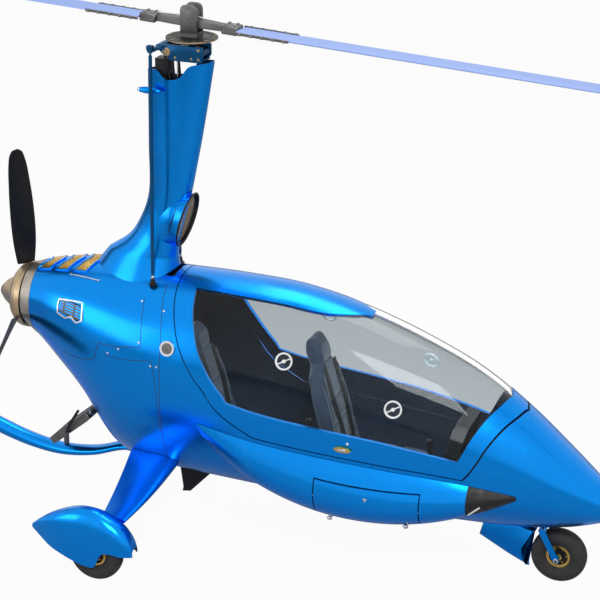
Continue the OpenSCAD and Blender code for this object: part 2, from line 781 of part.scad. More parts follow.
// The lids turn on pins along their lower edges
lid_axis_x = [900, 1350];
lid_hinge_out = 16;
lid_hinge_shares = [0.04, 0.96];
lid_foot_clear = 0;
function lid_axis(k) = pod_point(lid_axis_x[k], lid_last / pod_rows, -lid_hinge_out);
function lid_foot(at, x, q0, q1) =
    let (a = pod_point(x, q0, -lid_foot_clear), b = pod_point(x, q1, -lid_foot_clear))
    [
        [a[1], a[2]], [b[1], b[2]], [at[1] - hinge_eye * 0.3, at[2] + (q0 > q1 ? 1 : -1) * hinge_eye * 0.3],
        [at[1] - hinge_eye * 0.3, at[2] - (q0 > q1 ? 1 : -1) * hinge_eye * 0.3]
    ];
module lid_hinges() {
    $foot = function (at, x) lid_foot(at, x, lid_last / pod_rows + 0.02, lid_last / pod_rows + 0.07);
    color(steel)
        for (side = [-1, 1])
            mirrored(side)
            hinge_eyes(lid_axis(0), lid_axis(1), lid_hinge_shares);
}
module lid_arms(side) {
    $foot = function (at, x) lid_foot(at, x, lid_last / pod_rows - 0.02, lid_last / pod_rows - 0.07);
    color(steel)
        mirrored(side)
        hinge_pins(lid_axis(0), lid_axis(1), lid_hinge_shares);
}
module lid_arms_left() lid_arms(1);
module lid_arms_right() lid_arms(-1);
module pod_left() pod(1);
module pod_right() pod(-1);
module pod_lid_left() pod_lid(1);
module pod_lid_right() pod_lid(-1);
module pod_nose_caps() {
    xs = [for (k = [0:4]) mix(pod_cap_x + joint_gap, pod_front, k / 4)];
    color(black)
        for (side = [-1, 1])
            mirrored(side)
            panel(pod_grid(xs, 0, 1, pod_rows, 0), pod_grid(xs, 0, 1, pod_rows, shell));
}

// ---- Main gear legs ----
axle_x = -main_axle_back;
nose_x_axle = wheelbase - main_axle_back;
wheel_radius = tyre_diameter / 2;
leg_root_x = -150;
leg_root_chord = 290;
leg_root_angle = -52;
leg_root_spread = 5.2;
leg_foot_chord = 140;
leg_foot_z = 318;
leg_thick = 0.20;
leg_steps = 5;
pant_half_width = 76;
foot_y = track / 2 - pant_half_width + 4;
function leg_root_ring() = [
    for (p = foil_outline(leg_root_chord, leg_thick))
        let (x = leg_root_x + leg_root_chord / 2 - p[0])
        body_point(x, leg_root_angle + p[1] / 29 * leg_root_spread, -2)
];
function leg_foot_ring() = [
    for (p = foil_outline(leg_foot_chord, leg_thick))
        [axle_x + 66 + leg_foot_chord / 2 - p[0], -foot_y, leg_foot_z + p[1]]
];
module gear_legs() {
    root = leg_root_ring();
    foot = leg_foot_ring();
    color(blue)
        for (side = [-1, 1])
            mirrored(side)
            loft([for (k = [leg_steps:-1:0]) [
                for (j = [0:len(root) - 1])
                    mix(root[j], foot[j], k / leg_steps) - [0, 0, 18 * sin(180 * k / leg_steps)]
            ]]);
}

// ---- Main wheels ----
bead_radius = rim_diameter / 2;
module tyre() {
    shoulder = tyre_width / 2;
    wall_depth = wheel_radius - bead_radius;
    color(black)
        rotate([90, 0, 0])
        rotate_extrude($fn = 64)
        polygon([
            [bead_radius, -shoulder * 0.55],
            for (a = [-100:20:100])
                [
                    bead_radius + wall_depth * (0.45 + 0.55 * signed_power(cos(a * 0.9), 0.7)),
                    shoulder * signed_power(sin(a * 0.9), 0.75)
                ],
            [bead_radius, shoulder * 0.55]
        ]);
}
module rim(bore) {
    half = tyre_width * 0.27;
    flange = bead_radius - joint_gap;
    color(bronze)
        rotate([90, 0, 0])
        rotate_extrude($fn = 64)
        polygon([
            [bore / 2, -half - 8], [bore / 2 + 14, -half - 8], [bore / 2 + 16, -10], [flange - 14, -10],
            [flange - 12, -half], [flange, -half], [flange, half], [flange - 12, half],
            [flange - 14, 10], [bore / 2 + 16, 10], [bore / 2 + 14, half + 8], [bore / 2, half + 8]
        ]);
}
module main_place(side) {
    translate([axle_x, side * track / 2, wheel_radius])
        children();
}
wheel_bore = axle_diameter + 2 * wheel_fit;
module main_rim_left() main_place(1) rim(wheel_bore);
module main_rim_right() main_place(-1) rim(wheel_bore);
module main_tyre_left() main_place(1) tyre();
module main_tyre_right() main_place(-1) tyre();
module main_axles() {
    reach = (pant_half_width - shell) * 0.98 - joint_gap;
    color(steel)
        for (side = [-1, 1])
            main_place(side)
            rotate([90, 0, 0])
            cylinder(d = axle_diameter, h = 2 * reach, center = true);
}

// ---- Wheel pants: a helmet over each main wheel, with an ear at each end of its axle ----
// [x from the axle, half-width as a share, top, lower edge]
pant_sections = [
    [-375, 0.10, 246, 226], [-320, 0.38, 292, 196], [-250, 0.68, 338, 158], [-170, 0.90, 376, 132],
    [-90, 1.0, 400, 108], [-30, 1.0, 404, 96], [20, 1.0, 398, 104], [55, 0.98, 386, 176],
    [110, 0.93, 358, 190], [165, 0.82, 316, 182], [205, 0.62, 262, 180], [222, 0.44, 222, 178]
];
pant_columns = 16;
pant_rows = 14;
// Round over the top, then straight down to the edge
function pant_ring(x, inset) = [
    for (j = [0:pant_rows])
        let (top = smooth(pant_sections, x, 2) - inset, low = smooth(pant_sections, x, 3))
        let (half = max(1.5, smooth(pant_sections, x, 1) * pant_half_width - inset))
        let (waist = mix(low, top, 0.42), span = max(3, top - waist))
        j == 0 ? [x, -half * 0.97, low]
        : j == pant_rows ? [x, half * 0.97, low]
        : let (a = 180 * (j - 1) / (pant_rows - 2))
            [x, -half * signed_power(cos(a), 0.8), waist + span * signed_power(sin(a), 0.8)]
];
module wheel_pant(side) {
    xs = [for (i = [0:pant_columns]) mix(pant_sections[0][0], pant_sections[11][0], i / pant_columns)];
    color(blue)
        translate([axle_x, side * track / 2, 0])
        panel([for (x = xs) pant_ring(x, 0)], [for (x = xs) pant_ring(x, shell)]);
}
module wheel_pant_left() wheel_pant(1);
module wheel_pant_right() wheel_pant(-1);

// ---- Nose gear: a raked fork that turns in a head fixed to the keel ----
crown_clear = 28;
crown_reach = wheel_radius + crown_clear;
head_low = crown_reach + 20;
head_high = head_low + 122;
head_wall = 8;
stem_fit = 0.5;
module on_fork_axis() {
    translate([nose_x_axle, 0, wheel_radius])
        rotate([0, -rake, 0])
        children();
}
function fork_axis(s) = [nose_x_axle - s * sin(rake), wheel_radius + s * cos(rake)];
module steering_bracket() {
    difference() {
        union() {
            on_fork_axis()
                translate([0, 0, head_low])
                cylinder(d = stem_diameter + 2 * head_wall, h = head_high - head_low);
            rotate([90, 0, 0])
                translate([0, 0, -12])
                linear_extrude(24)
                polygon([
                    [keel_front - 160, keel_top - 12], [keel_front - 5, belly_z(keel_front) + 4],
                    fork_axis(head_low + 12), fork_axis(head_high - 8), [keel_front - 160, keel_top + 4]
                ]);
        }
        on_fork_axis()
            translate([0, 0, head_low - 20])
            cylinder(d = stem_diameter + 2 * stem_fit, h = head_high - head_low + 40);
    }
}
fork_leg_width = 34;
fork_leg_thick = 12;
module nose_fork() {
    color(blue)
        difference() {
            on_fork_axis() {
                for (side = [-1, 1]) {
                    translate([-fork_leg_width / 2, side * fork_spacing / 2 - fork_leg_thick / 2, 0])
                        cube([fork_leg_width, fork_leg_thick, crown_reach]);
                    translate([0, side * fork_spacing / 2 + fork_leg_thick / 2, 0])
                        rotate([90, 0, 0])
                        cylinder(d = fork_leg_width, h = fork_leg_thick);
                }
                translate([-fork_leg_width / 2, -fork_spacing / 2 - fork_leg_thick / 2, crown_reach - 6])
                    cube([fork_leg_width, fork_spacing + fork_leg_thick, 20]);
                translate([0, 0, crown_reach])
                    cylinder(d = stem_diameter, h = head_high + 12 - crown_reach);
                rotate([90, 0, 0])
                    cylinder(d = axle_diameter, h = fork_spacing + 20, center = true);
            }
            translate([nose_x_axle, 0, wheel_radius])
                rotate([90, 0, 0])
                cylinder(d = tow_bore, h = fork_spacing + 60, center = true);
        }
}
module nose_rim() translate([nose_x_axle, 0, wheel_radius]) rim(wheel_bore);
module nose_tyre() translate([nose_x_axle, 0, wheel_radius]) tyre();

// ---- Fixed fairing behind the nose wheel ----
fairing_gap = 34;
fairing_rear = 1640;
fairing_low = 52;
fairing_half = 46;
module nose_fairing() {
    arc = [
        for (a = [118:12:226])
            [nose_x_axle + (wheel_radius + fairing_gap) * cos(a), wheel_radius + (wheel_radius + fairing_gap) * sin(a)]
    ];
    inner = [for (p = arc) if (p[1] > fairing_low && p[1] < 285) p];
    color(blue)
        rotate([90, 0, 0])
        translate([0, 0, -fairing_half])
        linear_extrude(2 * fairing_half)
        polygon(concat(
            [for (x = [fairing_rear + 25:42:hatch_rear]) [x, belly_outside(x) - joint_gap]],
            inner,
            [[inner[len(inner) - 1][0] - 2, fairing_low]],
            [[1800, 105], [1700, 160], [fairing_rear, 196]]
        ));
}

// ---- Black scoop under the belly ----
scoop_width = 90;
scoop_rear = -98;
scoop_front = 118;
module belly_scoop() {
    color(black)
        rotate([90, 0, 0])
        translate([0, 0, -scoop_width / 2])
        linear_extrude(scoop_width)
        polygon([
            [scoop_rear, belly_outside(scoop_rear) - 2 * joint_gap], [split_x, belly_outside(split_x) - 2 * joint_gap],
            [scoop_front, belly_outside(scoop_front) - joint_gap], [84, 258], [-34, 130], [-84, 122], [-78, 150]
        ]);
}

// ---- Tail boom ----
// [x, height of its middle, half-width, half-height]
boom_path = [
    [-2620, 690, 32, 40], [-2300, 662, 40, 48], [-1950, 566, 44, 50], [-1600, 424, 46, 50],
    [-1270, 303, 46, 46], [-1060, 246, 46, 40], [-860, 224, 46, 33], [-650, 252, 46, 27],
    [-430, 322, 44, 24], [-400, 318, 44, 24]
];
boom_root = -330;
boom_sides = 16;
boom_steps = 22;
function boom_middle(x) =
    min(smooth(boom_path, x, 1), belly_outside(x) - smooth(boom_path, x, 3) - joint_gap);
function boom_top(x) = boom_middle(x) + smooth(boom_path, x, 3);
module tail_boom() {
    color(blue)
        loft([for (i = [0:boom_steps])
            let (x = mix(boom_path[0][0], boom_root, i / boom_steps))
            let (half = smooth(boom_path, x, 2), tall = smooth(boom_path, x, 3), z = boom_middle(x))
            [for (j = [0:boom_sides - 1])
                let (a = -360 * j / boom_sides)
                [x, half * cos(a), z + tall * sin(a)]]
        ]);
}

// ---- Oil cooler between the cowl and the boom ----
cooler_foot_x = -846;
cooler_foot = 24;
cooler_slope = 40;
cooler_size = [312, 220, 46];
module oil_cooler() {
    color(grey) {
        translate([-835, -cooler_size[1] / 2 - 40, 322])
            rotate([0, -cooler_slope, 0])
            cube(cooler_size);
        translate([cooler_foot_x, -cooler_foot / 2, boom_top(cooler_foot_x) + 4 * joint_gap])
            cube([cooler_foot, cooler_foot, 350 - boom_top(cooler_foot_x)]);
    }
}

// ---- Tail: tailplane with end fins, fin and rudder ----
tailplane_z = 770;
tailplane_front = -2060;
tailplane_root = 470;
tailplane_tip = 360;
tailplane_thick = 0.11;
pylon_front = -2110;
pylon_chord = 330;
function flat_ring(x, y, z, chord, thick) = [for (p = foil_outline(chord, thick)) [x - p[0], y, z + p[1]]];
function upright_ring(x, y, z, chord, thick) = [for (p = foil_outline(chord, thick)) [x - p[0], y + p[1], z]];
module tailplane() {
    half = tail_span / 2;
    color(blue)
        loft([
            flat_ring(tailplane_front - 60, -half, tailplane_z, tailplane_tip, 0.10),
            flat_ring(tailplane_front, 0, tailplane_z, tailplane_root, tailplane_thick),
            flat_ring(tailplane_front - 60, half, tailplane_z, tailplane_tip, 0.10)
        ]);
}
// The end fins stand just outside the tailplane's tips: [height, x behind its front edge, chord, thickness]
end_fin_rows = [[1180, 190, 240, 0.08], [890, 60, 390, 0.07], [710, 40, 400, 0.07], [480, 120, 250, 0.09]];
end_fin_half = 14;
module end_fins() {
    y = tail_span / 2 + joint_gap + end_fin_half;
    color(blue)
        for (side = [-1, 1])
            mirrored(side)
            loft([for (row = end_fin_rows) upright_ring(tailplane_front - row[1], -y, row[0], row[2], row[3])]);
}
// A pylon carries the tailplane on the boom
function pylon_ring(z_at) = [
    for (p = foil_outline(pylon_chord, 0.13)) let (x = pylon_front - p[0]) [x, p[1], z_at(x)]
];
module tail_pylon() {
    color(blue)
        loft([
            pylon_ring(function (x) tailplane_z - joint_gap
                - tailplane_root * foil((tailplane_front - x) / tailplane_root, tailplane_thick)),
            pylon_ring(function (x) boom_top(x) + joint_gap)
        ]);
}
fin_high = 1640;
hinge_gap = 6;
rudder_nose = 14;
rudder_x = -rudder_hinge_back;
// [height, x of the fin's front edge]
fin_edge = [[790, -2080], [1000, -2150], [1300, -2230], [1560, -2290], [1640, -2340]];
fin_heights = [790, 900, 1100, 1300, 1500, 1640];
fin_half = 22;
fin_nose_share = 0.4;
rudder_hinge_heights = [960, 1480];
rudder_lug = 10;
rudder_eye = 20;
rudder_pin = 8;
// The fin's section: a rounded front and a straight run to its back edge
function fin_ring(k) =
    let (front = fin_edge[0][1], back = rudder_x + hinge_gap + rudder_nose, z = fin_heights[k])
    let (lead = smooth(fin_edge, z, 1))
    let (shares = concat([for (a = [0:15:90]) (1 - cos(a)) * fin_nose_share], [0.52, 0.64, 0.76, 0.88, 1]))
    [
        for (t = shares) fin_point(lead, back, t, 1, k == 0 ? undef : z),
        for (i = [len(shares) - 1:-1:1]) fin_point(lead, back, shares[i], -1, k == 0 ? undef : z)
    ];
function fin_point(lead, back, t, side, z) =
    let (x = mix(lead, back, t))
    let (y = t > fin_nose_share ? fin_half * mix(1, 0.64, (t - fin_nose_share) / (1 - fin_nose_share))
        : fin_half * sqrt(max(0, 1 - pow(1 - t / fin_nose_share, 2))))
    let (low = tailplane_z + tailplane_root * foil((tailplane_front - x) / tailplane_root, tailplane_thick))
    [x, side * y, is_undef(z) ? low + joint_gap : z];
module tail_fin() {
    color(blue) {
        loft([for (k = [len(fin_heights) - 1:-1:0]) fin_ring(k)]);
        for (z = rudder_hinge_heights)
            difference() {
                union() {
                    translate([rudder_x, -rudder_eye / 2, z - rudder_lug / 2])
                        cube([hinge_gap + rudder_nose + 12, rudder_eye, rudder_lug]);
                    translate([rudder_x, 0, z - rudder_lug / 2])
                        cylinder(d = rudder_eye, h = rudder_lug);
                }
                translate([rudder_x, 0, z - rudder_lug])
                    cylinder(d = rudder_pin + 2 * pin_fit, h = 2 * rudder_lug);
            }
    }
}
rudder_low = 830;
rudder_high = 1620;
notch_clear = 2;
module rudder() {
    notch = rudder_lug + 2 * notch_clear;
    color(blue) {
        difference() {
            translate([rudder_x, 0, rudder_low])
                linear_extrude(rudder_high - rudder_low)
                polygon(concat(
                    [for (a = [90:-15:-90]) [rudder_nose * cos(a), rudder_nose * sin(a)]],
                    [[-rudder_chord, -3], [-rudder_chord, 3]]
                ));
            for (z = rudder_hinge_heights)
                translate([rudder_x - rudder_eye / 2 - 6, -50, z - notch / 2])
                    cube([100, 100, notch]);
        }
        for (z = rudder_hinge_heights)
            translate([rudder_x, 0, z - notch / 2 - 6])
                cylinder(d = rudder_pin, h = notch + 12);
    }
}

// ---- Rotor head, fixed to the mast post ----
disc_z = 2722;
disc_thick = 10;
head_pin = 36;
head_plate = 12;
head_rear = -162;
head_front = 85;
head_side = 58;
// Clevises that the control rods push on: [x, y, height of the lower face]
clevis = [-180, 120, 2655];
clevis_size = [32, 28, 40];
module rotor_head() {
    color(navy) {
        translate([head_rear, -head_side, head_base])
            cube([head_front - head_rear, 2 * head_side, head_plate]);
        for (y = [-head_side, head_side - head_plate])
            translate([head_rear, y, head_base + head_plate - 1])
            cube([head_front - head_rear, head_plate, 2692 - head_base - head_plate]);
        translate([-70, -45, head_base + head_plate - 1])
            cube([110, 90, 60]);
        translate([0, 0, head_base + 40])
            cylinder(d = head_pin, h = disc_z + 28 - head_base - 40);
        for (side = [-1, 1])
            translate([clevis[0] - clevis_size[0] / 2, side * clevis[1] - clevis_size[1] / 2, clevis[2]])
            cube(clevis_size);
        translate([clevis[0] - 6, -clevis[1], clevis[2] + 8])
            cube([head_rear - clevis[0] + 20, 2 * clevis[1], 20]);
    }
}
// [x, y] of a control rod's foot on the deck
rod_foot = [-172, 176];
rod_diameter = 20;
boot_diameter = 34;
boot_height = 34;
module control_rods() {
    for (side = [-1, 1]) {
        deck = deck_z(rod_foot[0], rod_foot[1] - boot_diameter / 2);
        foot = [rod_foot[0], side * rod_foot[1], deck + boot_height + 2 * joint_gap];
        top = [clevis[0], side * clevis[1], clevis[2] - 2 * joint_gap];
        run = top - foot;
        color(blue)
            translate(foot)
            rotate([0, acos(run[2] / norm(run)), atan2(run[1], run[0])])
            cylinder(d = rod_diameter, h = norm(run));
        color(black)
            translate([foot[0], foot[1], deck + joint_gap])
            cylinder(d1 = boot_diameter, d2 = rod_diameter + 6, h = boot_height);
    }
}

// ---- Strobe pods on the mast ----
strobe = [-203, 86, 2448];
strobe_length = 120;
strobe_radius = 18;
strobe_stalk = 14;
module strobe_pods() {
    for (side = [-1, 1]) {
        color(blue) {
            translate([strobe[0] - strobe_length / 2, side * strobe[1], strobe[2]])
                rotate([0, 90, 0])
                rotate_extrude($fn = 32)
                polygon(concat(
                    [[0, 0], [strobe_radius * 0.7, 0]],
                    [for (a = [10:10:90])
                        [strobe_radius * (0.7 + 0.3 * sin(a)), strobe_length * 0.35 * a / 90]],
                    [for (a = [15:15:90]) [strobe_radius * cos(a), strobe_length * (0.35 + 0.65 * sin(a))]]
                ));
            y = mast_side(strobe[0] + strobe_stalk * 0.42, strobe[2]) + joint_gap;
            translate([strobe[0], side * y, strobe[2]])
                rotate([-90 * side, 0, 0])
                cylinder(d = strobe_stalk, h = strobe[1] - y);
        }
        color(clear)
            translate([strobe[0] - strobe_length / 2, side * strobe[1], strobe[2]])
            sphere(d = 1.3 * strobe_radius, $fn = 32);
    }
}

// ---- Turning rotor tower ----
cheek_gap = 62;
cheek_thick = 12;
cheek_width = 92;
tower_top = teeter_height + 40;
spin_fit = 0.5;
module rotor_tower() {
    color(grey)
        difference() {
            union() {
                translate([0, 0, disc_z])
                    cylinder(d = disc_diameter, h = disc_thick);
                translate([-cheek_width / 2, -cheek_gap / 2 - cheek_thick, disc_z + disc_thick])
                    cube([cheek_width, cheek_gap + 2 * cheek_thick, 24]);
                for (y = [-cheek_gap / 2 - cheek_thick, cheek_gap / 2])
                    translate([-cheek_width / 2, y, disc_z + disc_thick + 20])
                    cube([cheek_width, cheek_thick, tower_top - disc_z - disc_thick - 20]);
            }
            translate([0, 0, disc_z - 5])
                cylinder(d = head_pin + 2 * spin_fit, h = 60);
            translate([0, 0, teeter_height])
                rotate([90, 0, 0])
                cylinder(d = teeter_bolt + 2 * spin_fit, h = 200, center = true);
        }
}

// ---- Teetering bar with its blades ----
bar_half = 268;
bar_height = 34;
bar_width = 50;
bar_drop = 58;
module teetered() {
    translate([0, 0, teeter_height])
        rotate([0, park_dip, 0])
        children();
}
module teeter_bar() {
    color(grey)
        teetered() {
            rotate([90, 0, 0])
                cylinder(d = teeter_bolt, h = cheek_gap + 2 * cheek_thick + 16, center = true);
            translate([-38, -cheek_gap / 2 + 3, -bar_drop - bar_height / 2])
                cube([76, cheek_gap - 6, bar_drop + bar_height / 2 + 22]);
            translate([-bar_half, -bar_width / 2, -bar_drop - bar_height / 2])
                cube([2 * bar_half, bar_width, bar_height]);
            for (side = [-1, 1])
                translate([side * (bar_half - 40) - 44, -44, -bar_drop - 23])
                cube([88, 88, 46]);
        }
}
blade_start = bar_half + 5;
blade_thick = 0.12;
module rotor_blade(side) {
    length = rotor_diameter / 2 - blade_start;
    color(pale_blue)
        teetered()
        translate([side * blade_start, 0, -bar_drop])
        rotate([0, 90 * side, 0])
        linear_extrude(length)
        rotate([0, 0, 90])
        polygon([for (p = foil_outline(blade_chord, blade_thick)) [side * (p[0] - blade_chord * 0.45), p[1]]]);
}
module rotor_blade_fore() rotor_blade(1);
module rotor_blade_aft() rotor_blade(-1);

// ---- Propeller ----
spinner_front = -994;
spinner_step = -1088;
spinner_tip = -1206;
cone_base = 212;
module spinner() {
    big = spinner_diameter / 2;
    color(bronze)
        translate([0, 0, prop_height])
        rotate([0, -90, 0])
        rotate_extrude()
        polygon([
            [shaft_diameter / 2 + prop_fit, -spinner_front], [big, -spinner_front], [big, -spinner_front + 30],
            [big * 0.96, -spinner_front + 52], [big * 0.82, -spinner_front + 76], [cone_base / 2, -spinner_step],
            [cone_base / 2 * 0.86, -spinner_step + 26], [cone_base / 2 * 0.58, -spinner_step + 72],
            [cone_base / 2 * 0.26, -spinner_step + 106], [0, -spinner_tip], [0, -prop_back + 4],
            [shaft_diameter / 2 + prop_fit, -prop_back + 4]
        ]);
}
// [distance from the hub, chord, pitch angle, thickness as a share]
prop_sections = [
    [120, 74, 52, 0.42], [200, 104, 44, 0.24], [320, 140, 34, 0.16], [480, 158, 26, 0.13],
    [660, 150, 20, 0.11], [790, 122, 17, 0.10], [840, 84, 16, 0.10], [856, 40, 16, 0.10]
];
prop_angle = 4;
prop_steps = 12;
function prop_ring(r) = [
    let (c = smooth(prop_sections, r, 1), t = smooth(prop_sections, r, 3), b = smooth(prop_sections, r, 2))
    for (p = foil_outline(c, t))
        let (u = p[0] - c * 0.4)
        [prop_plane + u * sin(b) + p[1] * cos(b), u * cos(b) - p[1] * sin(b), r]
];
module prop_blades() {
    color(black)
        translate([0, 0, prop_height])
        for (k = [0:2])
            rotate([120 * k + prop_angle, 0, 0])
            loft([for (i = [prop_steps:-1:0])
                prop_ring(mix(spinner_diameter / 2 + joint_gap, prop_diameter / 2, pow(i / prop_steps, 0.8)))]);
}

fuselage();
engine_cowl();
canopy_frame();
canopy_glass();
canopy_handle();
canopy_arms();
canopy_hinges();
mast_fairing();
mast_post();
air_intake();
engine();
cabin_floor();
instrument_panel();
front_seat();
rear_seat();
fuel_filler();
pod_left();
pod_right();
pod_lid_left();
pod_lid_right();
pod_nose_caps();
lid_hinges();
lid_arms_left();
lid_arms_right();
gear_legs();
wheel_pant_left();
wheel_pant_right();
main_axles();
main_rim_left();
main_rim_right();
main_tyre_left();
main_tyre_right();
nose_fork();
nose_rim();
nose_tyre();
nose_fairing();
belly_scoop();
tail_boom();
oil_cooler();
tail_pylon();
tailplane();
end_fins();
tail_fin();
rudder();
rotor_head();
control_rods();
strobe_pods();
rotor_tower();
teeter_bar();
rotor_blade_fore();
rotor_blade_aft();
spinner();
prop_blades();
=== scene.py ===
import bpy
import bmesh
import math
import numpy as np
from mathutils import Vector, Matrix


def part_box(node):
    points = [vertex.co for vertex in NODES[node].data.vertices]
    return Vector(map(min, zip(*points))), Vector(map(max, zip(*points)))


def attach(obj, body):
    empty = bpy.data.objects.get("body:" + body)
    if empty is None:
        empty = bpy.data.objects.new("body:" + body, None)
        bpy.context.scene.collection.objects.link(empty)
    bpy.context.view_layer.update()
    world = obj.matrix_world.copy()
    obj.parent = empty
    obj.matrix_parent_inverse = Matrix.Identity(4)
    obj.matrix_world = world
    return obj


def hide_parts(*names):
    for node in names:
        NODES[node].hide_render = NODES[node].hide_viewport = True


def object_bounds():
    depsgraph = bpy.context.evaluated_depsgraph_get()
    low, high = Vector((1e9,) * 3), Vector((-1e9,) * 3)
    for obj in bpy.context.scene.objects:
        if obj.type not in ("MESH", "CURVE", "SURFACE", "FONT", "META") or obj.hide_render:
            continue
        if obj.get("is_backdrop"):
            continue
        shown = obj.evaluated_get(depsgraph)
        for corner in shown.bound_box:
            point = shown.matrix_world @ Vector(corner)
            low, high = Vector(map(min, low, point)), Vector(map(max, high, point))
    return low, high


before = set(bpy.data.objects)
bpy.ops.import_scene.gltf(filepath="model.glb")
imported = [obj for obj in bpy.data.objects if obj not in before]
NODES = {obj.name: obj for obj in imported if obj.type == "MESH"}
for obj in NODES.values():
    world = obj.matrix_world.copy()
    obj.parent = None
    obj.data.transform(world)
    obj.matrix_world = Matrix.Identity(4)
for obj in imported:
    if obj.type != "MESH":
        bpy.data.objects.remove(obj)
CAD_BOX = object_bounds()
MM = 0.001


# ---- Camera ----
def make_camera():
    eye, aim = Vector((3.739, -8.234, 4.966)), Vector((0.6002, 0.0, 1.37))
    roll, lens = math.radians(0.39), 108.2
    back = (eye - aim).normalized()
    right = Vector((0, 0, 1)).cross(back).normalized()
    up = back.cross(right)
    x = right * math.cos(roll) + up * math.sin(roll)
    y = up * math.cos(roll) - right * math.sin(roll)
    m = Matrix((x, y, back)).transposed().to_4x4()
    m.translation = eye
    data = bpy.data.cameras.new("camera")
    data.lens, data.sensor_width, data.clip_end = lens, 36, 200
    cam = bpy.data.objects.new("camera", data)
    cam.matrix_world = m
    bpy.context.scene.collection.objects.link(cam)
    bpy.context.scene.camera = cam


make_camera()


# ---- Materials ----
def add_node(tree, kind, operation=None, **sockets):
    """A new shader node with its sockets set by name."""
    n = tree.nodes.new("ShaderNode" + kind)
    if operation:
        n.operation = operation
    for name, value in sockets.items():
        n.inputs[name.replace("_", " ")].default_value = value
    return n


def join(tree, *pairs):
    """Links, each from an output to an input."""
    for start, end in pairs:
        tree.links.new(start, end)


class Mat:
    """A small builder for a procedural material around one Principled shader."""

    def __init__(self, name, **sockets):
        self.m = bpy.data.materials.new(name)
        self.m.use_nodes = True
        self.t = self.m.node_tree
        self.p = self.t.nodes["Principled BSDF"]
        self.coord = self.t.nodes.new("ShaderNodeTexCoord").outputs["Object"]
        for k, v in sockets.items():
            self.set(k.replace("_", " ").title().replace("Ior", "IOR"), v)

    def set(self, name, value):
        if isinstance(value, tuple) and len(value) == 3:
            value = (*value, 1)
        self.p.inputs[name].default_value = value
        return self

    def noise(self, scale, detail=4, rough=0.5, stretch=None):
        n = add_node(self.t, "TexNoise", Scale=scale, Detail=detail, Roughness=rough)
        join(self.t, (self.mapped(stretch), n.inputs["Vector"]))
        return n.outputs["Fac"]

    def mapped(self, stretch):
        if stretch is None:
            return self.coord
        m = add_node(self.t, "Mapping", Scale=stretch)
        join(self.t, (self.coord, m.inputs["Vector"]))
        return m.outputs["Vector"]

    def wave(self, scale, direction, distort):
        n = add_node(self.t, "TexWave", Scale=scale, Distortion=distort)
        n.bands_direction = direction
        join(self.t, (self.coord, n.inputs["Vector"]))
        return n.outputs["Fac"]

    def ramp(self, fac, stops):
        n = self.t.nodes.new("ShaderNodeValToRGB")
        e = n.color_ramp.elements
        while len(e) < len(stops):
            e.new(0.5)
        for el, (pos, col) in zip(e, stops):
            el.position = pos
            el.color = (*col, 1) if isinstance(col, tuple) else (col, col, col, 1)
        self.t.links.new(fac, n.inputs["Fac"])
        return n.outputs["Color"]

    def colour(self, fac, stops):
        self.t.links.new(self.ramp(fac, stops), self.p.inputs["Base Color"])
        return self

    def rough(self, fac, lo, hi):
        self.t.links.new(self.ramp(fac, [(0.3, lo), (0.7, hi)]), self.p.inputs["Roughness"])
        return self

    def bump(self, fac, strength, distance, normal=None):
        b = add_node(self.t, "Bump", Strength=strength, Distance=distance)
        join(self.t, (fac, b.inputs["Height"]), (b.outputs["Normal"], self.p.inputs["Normal"]))
        if normal:
            join(self.t, (normal, b.inputs["Normal"]))
        return b.outputs["Normal"]


def tint(c, k):
    return tuple(min(1, v * k) for v in c)


def paint(name, c, metal, rough, coat=0.12):
    """Metallic paint: fine flakes in the colour, slow variation in the gloss, and a clear coat."""
    m = Mat(name, metallic=metal, coat_weight=coat, coat_roughness=0.04, base_color=c)
    flakes = m.noise(2600, 2, 0.6)
    m.colour(flakes, [(0.32, tint(c, 0.72)), (0.5, c), (0.68, tint(c, 1.3))])
    m.rough(m.noise(3.5, 5), rough - 0.05, rough + 0.07)
    n = m.bump(m.noise(240, 2), 0.05, 0.0006)
    m.bump(flakes, 0.03, 0.0002, n)
    return m.m


def metal(name, c, rough, grain=(1, 1, 1), scale=420):
    """Machined or cast metal: a fine grain, which may be brushed one way, under slow stains."""
    m = Mat(name, metallic=1.0, base_color=c)
    g = m.noise(scale, 5, 0.6, grain)
    m.colour(m.noise(14, 6, 0.65), [(0.3, tint(c, 0.74)), (0.7, tint(c, 1.1))])
    m.rough(g, rough - 0.08, rough + 0.16)
    m.bump(g, 0.18, 0.0006)
    return m.m


def plastic(name, c, rough, scale=700, spec=0.5):
    """Moulded plastic or rubber: a leathery grain, and gloss that wanders."""
    m = Mat(name, base_color=c)
    m.p.inputs["Specular IOR Level"].default_value = spec
    g = m.noise(scale, 4, 0.6)
    m.colour(m.noise(9, 6, 0.7), [(0.3, tint(c, 0.8)), (0.72, tint(c, 1.35))])
    m.rough(m.noise(26, 5), rough - 0.1, rough + 0.12)
    m.bump(g, 0.12, 0.0004)
    return m.m


def rubber():
    """Tyre rubber, dusty in places."""
    m = Mat("tyre_rubber", base_color=(0.018, 0.018, 0.019))
    m.colour(m.noise(30, 6, 0.7), [(0.3, (0.010, 0.010, 0.011)), (0.75, (0.035, 0.034, 0.033))])
    m.rough(m.noise(60, 5), 0.62, 0.86)
    m.bump(m.noise(900, 3), 0.35, 0.0008)
    return m.m


def fabric(name, c):
    """A close woven cloth: crossed threads, mottled dye and a little sheen."""
    m = Mat(name, base_color=c, sheen_weight=0.35)
    m.p.inputs["Sheen Roughness"].default_value = 0.4
    m.colour(m.noise(22, 7, 0.7), [(0.25, tint(c, 0.62)), (0.55, c), (0.8, tint(c, 1.55))])
    m.rough(m.noise(120, 4), 0.72, 0.92)
    woven = add_node(m.t, "Math", "MAXIMUM")
    for k, direction in enumerate("XZ"):
        join(m.t, (m.wave(320, direction, 1.2), woven.inputs[k]))
    n = m.bump(woven.outputs[0], 0.35, 0.0007)
    m.bump(m.noise(14, 4), 0.25, 0.004, n)
    return m.m


